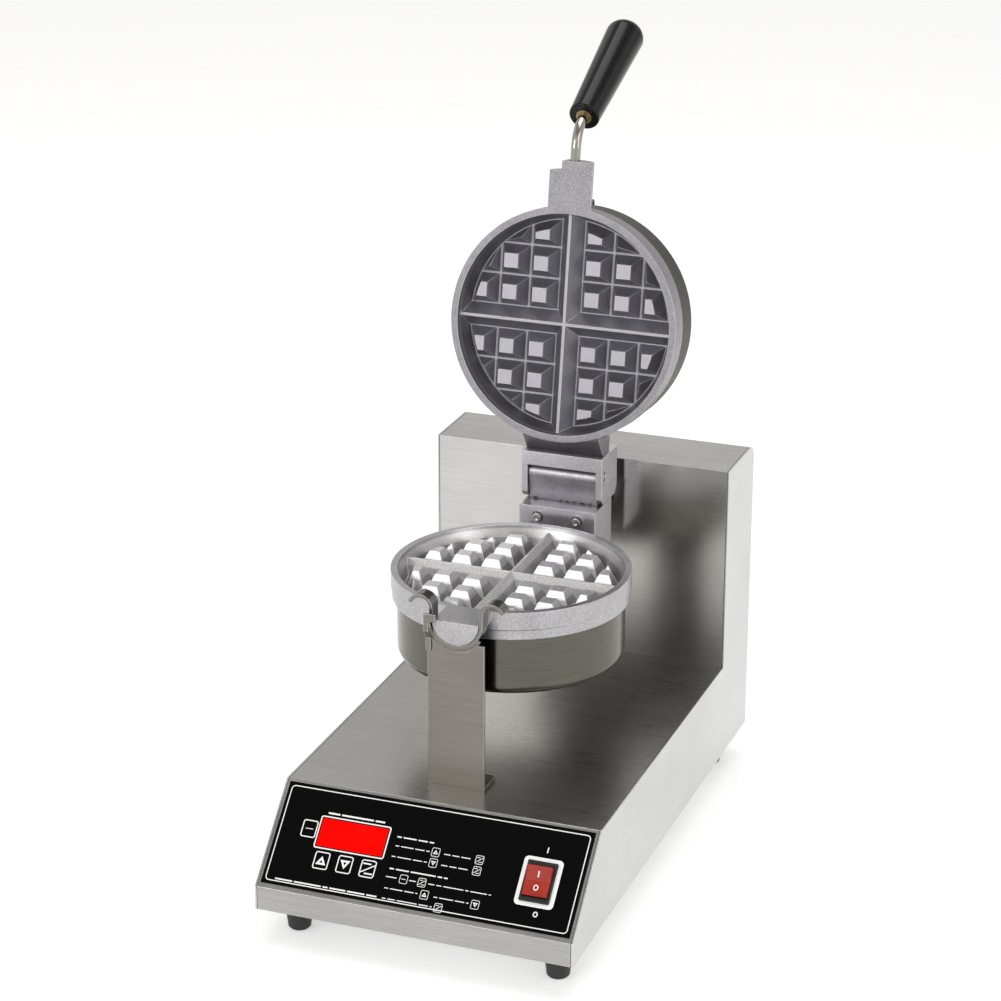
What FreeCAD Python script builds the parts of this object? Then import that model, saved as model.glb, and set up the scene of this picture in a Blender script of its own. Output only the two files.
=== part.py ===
import FreeCAD, Part
import os
import re

import Sketcher
from FreeCAD import Placement, Rotation, Vector

# Rotary waffle baker with one round grid pair.  Millimetres, +Z up, the control panel faces -Y.
# Working frame: y runs back from the front lip and z up from the table; every node's Placement
# then moves it by "setback", so that the origin is under the middle of the whole machine.
#
#   base      housing, panel, front support and bearing; stands on four feet
#   carriage  spindle, block, hinge knuckle and lower grid; turns about the spindle (along Y)
#   lid       yoke, upper grid, shell and handle; swings on the hinge pin (along X)

SIZES = {
    # housing
    "width": 254.0,
    "depth": 452.0,
    "foot_rise": 27.0,
    "lip": 19.2,
    "slope_length": 88.5,
    "slope_angle": 44.5,
    "tower_front": 378.5,
    "tower_rise": 173.1,
    "sheet": 1.5,
    "back_bend": 12.0,
    "tuck": 12.0,
    "cover_rise": 165.0,
    "cover_gap": 0.4,
    "side_flange": 14.0,
    "pan_wall": 16.0,
    "vent_length": 60.0,
    "vent_width": 4.0,
    "vent_pitch": 14.0,
    "louvre_length": 90.0,
    "louvre_width": 3.5,
    "louvre_pitch": 11.0,
    # feet and small screws
    "foot_radius": 11.2,
    "foot_taper": 2.4,
    "foot_inset": 22.0,
    "foot_front": 31.5,
    "foot_back": 420.5,
    "foot_dome": 4.0,
    "screw_radius": 2.0,
    "screw_head": 4.0,
    "screw_head_rise": 2.2,
    "screw_gap": 0.05,
    "screw_grip": 10.0,
    # control panel, measured across (x) and up the slope from the lip
    "overlay_half": 123.3,
    "overlay_low": 3.7,
    "overlay_high": 86.0,
    "overlay_thick": 0.5,
    "window_left": -88.2,
    "window_right": -34.9,
    "window_low": 39.5,
    "window_high": 61.5,
    "window_ledge": 2.0,
    "fit_gap": 0.1,
    "key_width": 12.4,
    "key_height": 14.0,
    "key_gap": 0.3,
    "key_proud": 0.4,
    "key_under": 1.2,
    "key_row": 28.3,
    "key_first": -80.4,
    "key_pitch": 18.9,
    "temp_key_x": -97.0,
    "temp_key_t": 51.2,
    "switch_x": 90.0,
    "switch_t": 41.3,
    "switch_width": 23.1,
    "switch_height": 31.3,
    "switch_depth": 20.0,
    "switch_wall": 1.2,
    "bezel_rise": 2.0,
    "rocker_width": 19.4,
    "rocker_half": 11.4,
    "rocker_top": 4.0,
    "rocker_waist": 2.6,
    "rocker_root": 4.0,
    "rocker_pivot": 1.6,
    "rocker_tilt": 7.0,
    "rocker_gap": 0.35,
    "axle_radius": 0.8,
    "axle_reach": 0.9,
    "board_gap": 1.6,
    "board_thick": 1.6,
    "display_thick": 9.0,
    # electrical parts inside
    "standoff_rise": 9.0,
    "standoff_radius": 3.0,
    "pcb_width": 100.0,
    "pcb_length": 80.0,
    "pcb_front": 110.0,
    "pcb_left": -105.0,
    "pcb_inset": 6.0,
    "relay_width": 45.0,
    "relay_length": 58.0,
    "relay_rise": 30.0,
    "relay_x": 30.0,
    "relay_front": 120.0,
    "terminal_width": 60.0,
    "terminal_length": 22.0,
    "terminal_rise": 18.0,
    "terminal_x": 20.0,
    "terminal_front": 300.0,
    "terminal_well": 3.0,
    "terminal_deep": 6.0,
    "gland_x": 70.0,
    "gland_z": 62.0,
    "gland_radius": 11.0,
    "gland_flange": 15.0,
    "gland_reach": 9.0,
    "gland_bore": 5.0,
    "cutout_radius": 9.0,
    "cutout_length": 12.0,
    "cutout_x": 70.0,
    "cutout_drop": 50.0,
    "tab_thick": 0.8,
    "tab_width": 6.3,
    "tab_length": 8.0,
    "switch_tab_x": 5.5,
    "switch_tab_t": 6.5,
    "transformer_width": 34.0,
    "transformer_length": 38.0,
    "transformer_rise": 28.0,
    "transformer_x": 8.0,
    "transformer_y": 20.0,
    "pcb_relay_width": 16.0,
    "pcb_relay_length": 28.0,
    "pcb_relay_rise": 16.0,
    "pcb_relay_x": 60.0,
    "pcb_relay_y": 12.0,
    "logic_width": 22.0,
    "logic_length": 9.0,
    "logic_rise": 4.0,
    "logic_x": 58.0,
    "logic_y": 56.0,
    # rotary axis, spindle and carriage
    "axis_rise": 135.5,
    "grid_y": 213.1,
    "block_half": 32.6,
    "block_front": 319.6,
    "block_back": 361.0,
    "block_above": 9.8,
    "block_below": 30.8,
    "tongue_half": 26.0,
    "tongue_back": 345.0,
    "tongue_top": 8.0,
    "bolt_radius": 3.0,
    "bolt_head": 5.0,
    "bolt_head_rise": 4.0,
    "bolt_x": 16.8,
    "bolt_lift": 0.5,
    "carriage_head": 3.8,
    "socket_radius": 1.9,
    "socket_depth": 2.0,
    "spindle_radius": 14.0,
    "spindle_flange": 26.0,
    "spindle_flange_thick": 8.0,
    "spindle_reach": 54.0,
    "running_gap": 0.06,
    "bush_wall": 3.0,
    "hub_radius": 24.0,
    "hub_length": 40.0,
    "plate_half": 34.0,
    "plate_thick": 6.0,
    "plate_bolt": 26.5,
    "nut_radius": 21.0,
    "nut_thick": 9.0,
    # hinge
    "pin_y": 339.6,
    "pin_rise": 32.6,
    "pin_radius": 5.0,
    "pin_gap": 0.05,
    "knuckle_half": 28.8,
    "knuckle_eye": 7.8,
    "knuckle_back": 20.0,
    "yoke_half": 34.5,
    "yoke_mouth": 29.3,
    "yoke_front": 9.9,
    "yoke_back": 28.6,
    "yoke_top": 20.0,
    "yoke_bar": 8.1,
    "yoke_drop": 20.1,
    "yoke_chamfer": 5.0,
    "yoke_turn": 98.94,
    "neck_step": 8.3,
    "neck_rise": 14.0,
    "yoke_bolt_x": 18.0,
    "yoke_bolt_back": 5.4,
    "yoke_recess": 5.2,
    "yoke_bolt_reach": 30.0,
    "open_angle": 98.94,
    # grids
    "rim_radius": 94.2,
    "rim_rise": 22.2,
    "rim_step": 0.9,
    "rim_step_drop": 14.0,
    "cavity_radius": 88.9,
    "floor_radius": 83.5,
    "floor_drop": 16.8,
    "rib_base": 9.3,
    "rib_top": 1.0,
    "rib_drop": 4.5,
    "cell_pitch": 25.2,
    "ridge": 1.5,
    "post_top": 11.4,
    "post_drop": 3.4,
    "grid_gap": 0.3,
    "stud_boss": 8.0,
    "stud_boss_rise": 12.0,
    "stud_radius": 3.0,
    "lower_lug_radius": 18.3,
    "lower_lug_reach": 120.5,
    "upper_lug_radius": 17.8,
    "upper_lug_reach": 130.3,
    "upper_lug_short": 122.7,
    "upper_lug_step": 8.0,
    "neck_half": 32.8,
    "neck_high": 12.4,
    # shells, heaters, insulation
    "lower_shell_radius": 89.4,
    "upper_shell_radius": 91.8,
    "shell_wall": 1.2,
    "lower_shell_bend": 7.5,
    "upper_shell_bend": 3.0,
    "lower_shell_depth": 70.4,
    "upper_shell_depth": 54.0,
    "heater_ring": 62.0,
    "heater_tube": 4.0,
    "heater_leg": 10.0,
    "heater_legs_apart": 24.0,
    "wool_radius": 84.0,
    "wool_bore": 12.0,
    "wool_gap": 1.5,
    "lower_wool": 26.0,
    "upper_wool": 12.0,
    "sensor_radius": 2.5,
    "sensor_length": 26.0,
    "sensor_x": 26.0,
    # front support
    "support_front": 93.3,
    "support_thick": 2.0,
    "support_half": 22.8,
    "support_top": 16.4,
    "support_foot": 25.3,
    "support_notch": 23.9,
    "support_corner": 3.0,
    "support_screw_x": 12.0,
    "support_screw_y": 109.0,
    "saddle_radius": 18.7,
    "saddle_thick": 2.6,
    "saddle_length": 12.0,
    "weld_sweep": 110.0,
    "ear_rise": 8.5,
    "ear_radius": 10.0,
    "ear_sweep": 160.0,
    "stop_left": 23.4,
    "stop_width": 3.9,
    "stop_tip": 13.8,
    "stop_low": 0.3,
    "stop_high": 6.4,
    "stop_out": 6.4,
    "stop_thick": 2.0,
    "stop_foot": 25.0,
    "stop_bend": 14.0,
    # handle
    "rod_radius": 4.0,
    "rod_back": 8.5,
    "rod_seat": 38.0,
    "rod_lead": 10.0,
    "rod_bend": 26.0,
    "rod_angle": 57.5,
    "rod_neck": 3.0,
    "rod_tang": 70.0,
    "grip_length": 119.0,
    "grip_small": 12.35,
    "grip_large": 16.3,
    "grip_round": 11.0,
    "grip_mouth": 1.5,
    "insert_radius": 6.3,
    "insert_length": 20.0,
    "insert_proud": 0.6,
    "set_screw_radius": 3.4,
    "set_screw_at": 98.0,
    "set_screw_out": 17.2,
    # distance from the lip back to the origin, found from the finished machine
    "setback": 248.0,
}

LIP_TOP = "(foot_rise + lip)"
DECK_Y = "(slope_length * cos(slope_angle))"
DECK_Z = "(foot_rise + lip + slope_length * sin(slope_angle))"
TOWER_TOP = f"({DECK_Z} + tower_rise)"
AXIS_Z = f"({DECK_Z} + axis_rise)"
PIN_Z = f"({AXIS_Z} + pin_rise)"
SIDE_X = "(width / 2 - sheet)"
WORD = re.compile(r"[A-Za-z_][A-Za-z_0-9]*")
X_AXIS = Vector(1, 0, 0)
Y_AXIS = Vector(0, 1, 0)
Z_AXIS = Vector(0, 0, 1)
FACING = {
    "up": Rotation(),
    "down": Rotation(X_AXIS, 180),
    "back": Rotation(X_AXIS, -90),
    "front": Rotation(X_AXIS, 90),
    "right": Rotation(Y_AXIS, 90),
    "left": Rotation(Y_AXIS, -90),
}

doc = FreeCAD.newDocument("WaffleBaker")
sheet = doc.addObject("Spreadsheet::Sheet", "Sizes")
for row, (alias, size) in enumerate(SIZES.items(), start=1):
    sheet.set(f"A{row}", alias)
    sheet.set(f"B{row}", str(size))
    sheet.setAlias(f"B{row}", alias)
doc.recompute()
SETBACK_CELL = f"B{len(SIZES)}"
nodes = []


# ---------------------------------------------------------------- binding and shape helpers
def bound(rule):
    """The rule with each size's name pointed at its cell."""
    return WORD.sub(lambda word: "Sizes." + word[0] if word[0] in SIZES else word[0], rule)


def drive(thing, **rules):
    for field, rule in rules.items():
        thing.setExpression(field, bound(rule))
    return thing


def locate(thing, place):
    for letter, rule in zip("xyz", place):
        thing.setExpression(f"Placement.Base.{letter}", bound(rule))
    return thing


def box(name, size, corner):
    solid = doc.addObject("Part::Box", name)
    drive(solid, Length=size[0], Width=size[1], Height=size[2])
    return locate(solid, corner)


def slab(name, half, depth, height, y, z):
    """A box centred on x = 0."""
    return box(name, (f"2 * {half}", depth, height), (f"-{half}", y, z))


def rod(name, radius, length, start, facing="up"):
    solid = doc.addObject("Part::Cylinder", name)
    solid.Placement = Placement(Vector(), FACING[facing])
    drive(solid, Radius=radius, Height=length)
    return locate(solid, start)


def fuse(name, *members):
    whole = doc.addObject("Part::MultiFuse", name)
    whole.Shapes = list(members)
    whole.Refine = True
    return whole


def cut(name, base, *tools):
    result = doc.addObject("Part::Cut", name)
    result.Base = base
    result.Tool = tools[0] if len(tools) == 1 else fuse(name + "_tools", *tools)
    result.Refine = True
    return result


def common(name, first, second):
    result = doc.addObject("Part::Common", name)
    result.Base = first
    result.Tool = second
    return result


def gather(name, members):
    """Identical separate pieces that share one node."""
    group = doc.addObject("Part::Compound", name)
    group.Links = list(members)
    return group


def outline(body, name, role, points):
    """A closed sketch whose corners are pinned to the sizes by distances from the origin."""
    sketch = body.newObject("Sketcher::SketchObject", name)
    plane = next(item for item in body.Origin.OriginFeatures if item.Role == role)
    sketch.AttachmentSupport = [(plane, "")]
    sketch.MapMode = "FlatFace"
    count = len(points)
    turn = 360.0 / count
    start = [Rotation(Z_AXIS, turn * number).multVec(X_AXIS) for number in range(count)]
    for number in range(count):
        sketch.addGeometry(Part.LineSegment(start[number], start[(number + 1) % count]))
    for number in range(count):
        sketch.addConstraint(Sketcher.Constraint("Coincident", number, 2, (number + 1) % count, 1))
    for number, point in enumerate(points):
        for kind, rule, now in zip(("DistanceX", "DistanceY"), point, (start[number].x, start[number].y)):
            pin = sketch.addConstraint(Sketcher.Constraint(kind, -1, 1, number, 1, now))
            sketch.setExpression(f"Constraints[{pin}]", bound(rule))
    return sketch


def prism(name, role, points, length):
    """A pad of the outline, half its length each way from the sketch plane."""
    body = doc.addObject("PartDesign::Body", name)
    pad = body.newObject("PartDesign::Pad", name + "_pad")
    pad.Profile = outline(body, name + "_sketch", role, points)
    pad.Midplane = True
    drive(pad, Length=length)
    return body


def turned(name, points):
    """A revolution about Z of the outline given as radius and height."""
    body = doc.addObject("PartDesign::Body", name)
    turning = body.newObject("PartDesign::Revolution", name + "_turning")
    turning.Profile = outline(body, name + "_sketch", "XZ_Plane", points)
    turning.ReferenceAxis = (turning.Profile[0], ["V_Axis"])
    turning.Angle = 360.0
    return body


def matching_edges(shape, wanted):
    return [number for number, edge in enumerate(shape.Edges, start=1) if wanted(edge)]


def dress(body, kind, size, wanted):
    """A PartDesign fillet or chamfer on the body's edges that match."""
    doc.recompute()
    tip = body.Tip
    names = [f"Edge{number}" for number in matching_edges(tip.Shape, wanted)]
    feature = body.newObject(f"PartDesign::{kind}", f"{body.Name}_{kind}_{len(body.Group)}")
    feature.Base = (tip, names)
    drive(feature, **{"Radius" if kind == "Fillet" else "Size": size})
    return body


def rounded(name, base, size_name, wanted):
    """A Part fillet on the edges that match."""
    doc.recompute()
    radius = sheet.get(size_name)
    feature = doc.addObject("Part::Fillet", name)
    feature.Base = base
    feature.Edges = [(number, radius, radius) for number in matching_edges(base.Shape, wanted)]
    return feature


def runs_along(edge, axis):
    if edge.Curve.TypeId != "Part::GeomLine":
        return False
    return abs(abs(edge.Curve.Direction.dot(axis)) - 1) < 1e-6


def is_round(edge):
    return edge.Curve.TypeId == "Part::GeomCircle"


def middle(edge):
    return edge.BoundBox.Center


# ---------------------------------------------------------------- where a node stands
def node(thing, name, place=("0", "0", "0")):
    """A sub-part of the base or carriage, moved from the working frame to the machine's."""
    thing.Label = name
    locate(thing, (place[0], f"{place[1]} - setback", place[2]))
    nodes.append(thing)
    return thing


def sloped_place(x, t, n, shift):
    return (x, f"({t}) * cos(slope_angle) - ({n}) * sin(slope_angle) - {shift}",
            f"{LIP_TOP} + ({t}) * sin(slope_angle) + ({n}) * cos(slope_angle)")


def on_slope(thing, x="0", t="0", n="0", shift="0"):
    """Stands the thing on the sloped panel: t up the slope from the lip, n out of it."""
    thing.Placement = Placement(Vector(), Rotation(X_AXIS, 1))
    thing.setExpression("Placement.Rotation.Angle", bound("slope_angle"))
    return locate(thing, sloped_place(x, t, n, shift))


def panel_node(thing, name, x="0", t="0", n="0"):
    thing.Label = name
    on_slope(thing, x, t, n, "setback")
    nodes.append(thing)
    return thing


def lid_node(thing, name):
    """A lid part, modelled face up about the grid's centre, turned over and then opened."""
    y = "(grid_y - pin_y)"
    z = f"({AXIS_Z} + grid_gap - {PIN_Z})"
    place = (f"vector(0; pin_y - setback + {y} * cos(open_angle) + {z} * sin(open_angle); "
             f"{PIN_Z} - {y} * sin(open_angle) + {z} * cos(open_angle))")
    thing.Label = name
    thing.setExpression("Placement", bound(f"placement({place}; rotationx(-open_angle) * rotationy(180))"))
    nodes.append(thing)
    return thing


def yoke_node(thing, name):
    """A hinge part of the lid, modelled about the pin as it stands when the lid is open."""
    place = f"vector(0; pin_y - setback; {PIN_Z})"
    thing.Label = name
    thing.setExpression("Placement", bound(f"placement({place}; rotationx(yoke_turn - open_angle))"))
    nodes.append(thing)
    return thing


def grid_node(thing, name):
    """A part of the lower grid, modelled about the grid's centre at the rim plane."""
    return node(thing, name, ("0", "grid_y", AXIS_Z))


# ---------------------------------------------------------------- housing
MITRE_LIP = "(sheet * tan((90 - slope_angle) / 2))"
MITRE_DECK = "(sheet * tan(slope_angle / 2))"


def front_skin():
    """One folded sheet: lip, control slope and deck, tucked under the tower's foot."""
    profile = [
        ("0", "foot_rise"),
        ("0", LIP_TOP),
        (DECK_Y, DECK_Z),
        ("tower_front + tuck", DECK_Z),
        ("tower_front + tuck", f"{DECK_Z} - sheet"),
        (f"{DECK_Y} + {MITRE_DECK}", f"{DECK_Z} - sheet"),
        ("sheet", f"{LIP_TOP} - {MITRE_LIP}"),
        ("sheet", "foot_rise"),
    ]
    skin = prism("front_skin_fold", "YZ_Plane", profile, f"2 * {SIDE_X}")
    openings = [window_cut("skin"), switch_cut("skin")]
    openings += [key_cut("skin", key, x, t) for key, x, t in KEYS]
    for number, side in enumerate(("-1", "1"), start=1):
        hole = rod(f"deck_hole_{number}", "screw_radius + screw_gap", "4 * sheet",
                   (f"{side} * support_screw_x", "support_screw_y", f"{DECK_Z} - 2 * sheet"))
        openings.append(hole)
    node(cut("front_skin", skin, *openings), "front_skin")


KEYS = [
    ("temp_key", "temp_key_x", "temp_key_t"),
    ("up_key", "key_first", "key_row"),
    ("down_key", "(key_first + key_pitch)", "key_row"),
    ("start_key", "(key_first + 2 * key_pitch)", "key_row"),
]
PANEL_DEEP = "10 * sheet"


def panel_box(name, x, t, width, height, low, high):
    """A box in the slope's frame, centred at x and t."""
    solid = doc.addObject("Part::Box", name)
    drive(solid, Length=width, Width=height, Height=f"({high}) - ({low})")
    return on_slope(solid, f"{x} - ({width}) / 2", f"{t} - ({height}) / 2", low)


def window_cut(owner):
    ledge = "window_ledge" if owner == "skin" else "0"
    return panel_box(f"window_in_{owner}",
                     "(window_left + window_right) / 2", "(window_low + window_high) / 2",
                     f"window_right - window_left - 2 * {ledge}", f"window_high - window_low - 2 * {ledge}",
                     f"-{PANEL_DEEP}", PANEL_DEEP)


def switch_cut(owner):
    return panel_box(f"switch_in_{owner}", "switch_x", "switch_t",
                     "switch_width - 2 * switch_wall", "switch_height - 2 * switch_wall",
                     f"-{PANEL_DEEP}", PANEL_DEEP)


def key_cut(owner, key, x, t):
    return panel_box(f"{key}_in_{owner}", x, t, "key_width + 2 * key_gap", "key_height + 2 * key_gap",
                     f"-{PANEL_DEEP}", PANEL_DEEP)


def tower_skin():
    """The tower's front, top and back in one bent sheet standing on the deck."""
    profile = [
        ("tower_front", DECK_Z),
        ("tower_front", TOWER_TOP),
        ("depth", TOWER_TOP),
        ("depth", "foot_rise + cover_rise + cover_gap"),
        ("depth - sheet", "foot_rise + cover_rise + cover_gap"),
        ("depth - sheet", f"{TOWER_TOP} - sheet"),
        ("tower_front + sheet", f"{TOWER_TOP} - sheet"),
        ("tower_front + sheet", DECK_Z),
    ]
    skin = prism("tower_skin_fold", "YZ_Plane", profile, f"2 * {SIDE_X}")
    outer = sheet.get("depth")
    wall = sheet.get("sheet")

    top = sheet.get("foot_rise") + sheet.get("cover_rise") + 2 * wall

    def rear_corner(edge, y):
        return runs_along(edge, X_AXIS) and abs(middle(edge).y - y) < wall / 4 and middle(edge).z > top

    dress(skin, "Fillet", "back_bend", lambda edge: rear_corner(edge, outer))
    dress(skin, "Fillet", "back_bend - sheet", lambda edge: rear_corner(edge, outer - wall))
    bore = rod("tower_bore", "spindle_radius + bush_wall + 2 * sheet", "8 * sheet",
               ("0", "tower_front - 4 * sheet", AXIS_Z), "back")
    node(cut("tower_skin", skin, bore), "tower_skin")


def side_panels():
    """Flat sides that cap the folded skins, each with a rear flange for the cover's screws."""
    profile = [
        ("0", "foot_rise"),
        ("0", LIP_TOP),
        (DECK_Y, DECK_Z),
        ("tower_front", DECK_Z),
        ("tower_front", TOWER_TOP),
        ("depth", TOWER_TOP),
        ("depth", "foot_rise"),
    ]
    outer = sheet.get("depth")
    high = sheet.get("foot_rise") + sheet.get("cover_rise")
    for name, side in (("left_side_panel", "-1"), ("right_side_panel", "1")):
        plate = prism(name + "_plate", "YZ_Plane", profile, "sheet")
        dress(plate, "Fillet", "back_bend",
              lambda edge: runs_along(edge, X_AXIS) and abs(middle(edge).y - outer) < 1e-3
              and middle(edge).z > high)
        locate(plate, (f"{side} * (width / 2 - sheet / 2)", "0", "0"))
        flange = box(name + "_flange", ("side_flange", "sheet", "cover_rise - 2 * pan_wall"),
                     (f"{side} * ({SIDE_X} - side_flange / 2) - side_flange / 2", "depth - 2 * sheet",
                      "foot_rise + pan_wall + 2 * sheet"))
        holes = [screw_hole(f"{name}_hole_{number}", f"{side} * {COVER_SCREW_X}", z)
                 for number, z in enumerate(COVER_SCREW_ROWS, start=1)]
        node(cut(name, fuse(name + "_fold", plate, flange), *holes), name)


COVER_SCREW_X = f"({SIDE_X} - side_flange / 2)"
COVER_SCREW_ROWS = [f"(foot_rise + cover_rise * {share})" for share in ("0.2", "0.5", "0.8")]


def screw_hole(name, x, z):
    return rod(name, "screw_radius + screw_gap", "8 * sheet", (x, "depth - 4 * sheet", z), "back")


def rear_cover():
    """Removable plate over the wiring, with louvre slots and the cord's hole."""
    plate = slab("rear_cover_plate", SIDE_X, "sheet", "cover_rise", "depth - sheet", "foot_rise")
    openings = [rod("gland_hole", "gland_radius", "4 * sheet",
                    ("gland_x", "depth - 2 * sheet", "gland_z"), "back")]
    for number in range(6):
        openings.append(box(f"louvre_{number + 1}", ("louvre_length", "4 * sheet", "louvre_width"),
                            ("-louvre_length", "depth - 2 * sheet", f"gland_z + {number} * louvre_pitch")))
    for side in ("-1", "1"):
        for z in COVER_SCREW_ROWS:
            openings.append(screw_hole(f"cover_hole_{len(openings)}", f"{side} * {COVER_SCREW_X}", z))
    node(cut("rear_cover", plate, *openings), "rear_cover")


def screw(name, x, y, z, facing, grip):
    """A round-headed screw; its shank runs opposite to the way the head faces."""
    opposite = {"back": "front", "front": "back", "down": "up", "up": "down"}[facing]
    shank = rod(name + "_shank", "screw_radius", grip, (x, y, z), opposite)
    head = rod(name + "_head", "screw_head", "screw_head_rise", (x, y, z), facing)
    domed = rounded_head(name, head)
    return fuse(name, shank, domed)


def rounded_head(name, head):
    dome = doc.addObject("Part::Chamfer", name + "_dome")
    doc.recompute()
    rise = sheet.get("screw_head_rise") / 3
    facing = head.Placement.Rotation.multVec(Z_AXIS)
    centre = head.Shape.BoundBox.Center
    outer = matching_edges(head.Shape,
                           lambda edge: is_round(edge) and (middle(edge) - centre).dot(facing) > 0)
    dome.Base = head
    dome.Edges = [(number, rise, rise) for number in outer]
    return dome


def cover_screws():
    members = []
    for side in ("-1", "1"):
        for z in COVER_SCREW_ROWS:
            members.append(screw(f"cover_screw_{len(members) + 1}", f"{side} * {COVER_SCREW_X}",
                                 "depth", z, "back", "screw_grip"))
    node(gather("cover_screws", members), "cover_screws")


def bottom_pan():
    """Tray that closes the housing's underside, slotted for cooling air."""
    gap = "cover_gap"
    length = f"(depth - 2 * sheet - 2 * {gap} - sheet)"
    floor = slab("pan_floor", SIDE_X, length, "sheet", f"sheet + {gap}", "foot_rise")
    walls = [box(f"pan_wall_{number}", ("sheet", length, "pan_wall"),
                 (f"{side} * ({SIDE_X} - sheet / 2) - sheet / 2", f"sheet + {gap}", "foot_rise"))
             for number, side in enumerate(("-1", "1"), start=1)]
    openings = []
    for number in range(9):
        openings.append(box(f"pan_vent_{number + 1}", ("vent_length", "vent_width", "4 * sheet"),
                            ("-vent_length / 2", f"depth / 2 - 20 + {number} * vent_pitch",
                             "foot_rise - 2 * sheet")))
    for name, x, y in FEET:
        openings.append(rod(name + "_pan_hole", "screw_radius + screw_gap", "4 * sheet",
                            (x, y, "foot_rise - 2 * sheet")))
    node(cut("bottom_pan", fuse("pan_fold", floor, *walls), *openings), "bottom_pan")


FOOT_X = "(width / 2 - foot_inset)"
FEET = [
    ("foot_front_left", f"-{FOOT_X}", "foot_front"),
    ("foot_front_right", FOOT_X, "foot_front"),
    ("foot_rear_left", f"-{FOOT_X}", "foot_back"),
    ("foot_rear_right", FOOT_X, "foot_back"),
]


def feet():
    """Tapered rubber feet, each hollow below for its screw's head."""
    tip = "(foot_radius - foot_taper)"
    recess = "(screw_head + 1)"
    profile = [
        ("screw_radius + screw_gap", "foot_rise"),
        ("foot_radius", "foot_rise"),
        ("foot_radius", "foot_rise * 0.8"),
        (tip, "foot_dome * 0.4"),
        (f"{tip} - foot_dome * 0.4", "0"),
        (recess, "0"),
        (recess, "foot_rise * 0.5"),
        ("screw_radius + screw_gap", "foot_rise * 0.5"),
    ]
    for name, x, y in FEET:
        node(turned(name, profile), name, (x, y, "0"))
    screws = [screw(f"foot_screw_{number}", x, y, "foot_rise * 0.5", "down", "foot_rise * 0.5 + 3 * sheet")
              for number, (name, x, y) in enumerate(FEET, start=1)]
    node(gather("foot_screws", screws), "foot_screws")


# ---------------------------------------------------------------- control panel
def control_overlay():
    height = "(overlay_high - overlay_low)"
    face = panel_box("overlay_face", "0", f"(overlay_low + {height} / 2)", "2 * overlay_half", height,
                     "0", "overlay_thick")
    openings = [window_cut("overlay"), switch_cut("overlay")]
    openings += [key_cut("overlay", key, x, t) for key, x, t in KEYS]
    node(cut("control_overlay", face, *openings), "control_overlay")


def display():
    """A tinted window let into the overlay, and the digit module behind the skin."""
    x = "(window_left + window_right) / 2"
    t = "(window_low + window_high) / 2"
    width = "(window_right - window_left)"
    height = "(window_high - window_low)"
    window = panel_box("window_pane", x, t, f"{width} - 2 * fit_gap", f"{height} - 2 * fit_gap",
                       "0", "overlay_thick")
    node(gather("display_window", [window]), "display_window")
    module = panel_box("display_case", x, t, width, height, "-sheet - display_thick", "-sheet - fit_gap")
    node(gather("display_module", [module]), "display_module")


def keys():
    for name, x, t in KEYS:
        cap = doc.addObject("Part::Box", name + "_block")
        drive(cap, Length="key_width", Width="key_height", Height="key_under + overlay_thick + key_proud")
        locate(cap, ("-key_width / 2", "-key_height / 2", "-key_under"))
        panel_node(gather(name, [cap]), name, x, t)


def keypad_board():
    """Printed board with a tactile switch under each key."""
    top = "(-key_under - key_proud - board_gap)"
    left = "(temp_key_x - key_width)"
    right = "(key_first + 3 * key_pitch - key_width / 2)"
    low = "(key_row - key_height / 2)"
    plate = panel_box("keypad_plate", f"(({left} + {right}) / 2)", "key_row", f"({right} - {left})",
                      "key_height", f"{top} - board_thick", top)
    ear = panel_box("keypad_ear", f"({left} + key_width)", f"({low} + temp_key_t + key_height / 2) / 2",
                    "key_width * 1.2", f"(temp_key_t + key_height / 2 - {low})", f"{top} - board_thick", top)
    domes = [panel_box(f"{name}_dome", x, t, "key_width / 3", "key_width / 3", top, f"{top} + board_gap / 2")
             for name, x, t in KEYS]
    node(fuse("keypad_board", plate, ear, *domes), "keypad_board")


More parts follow.
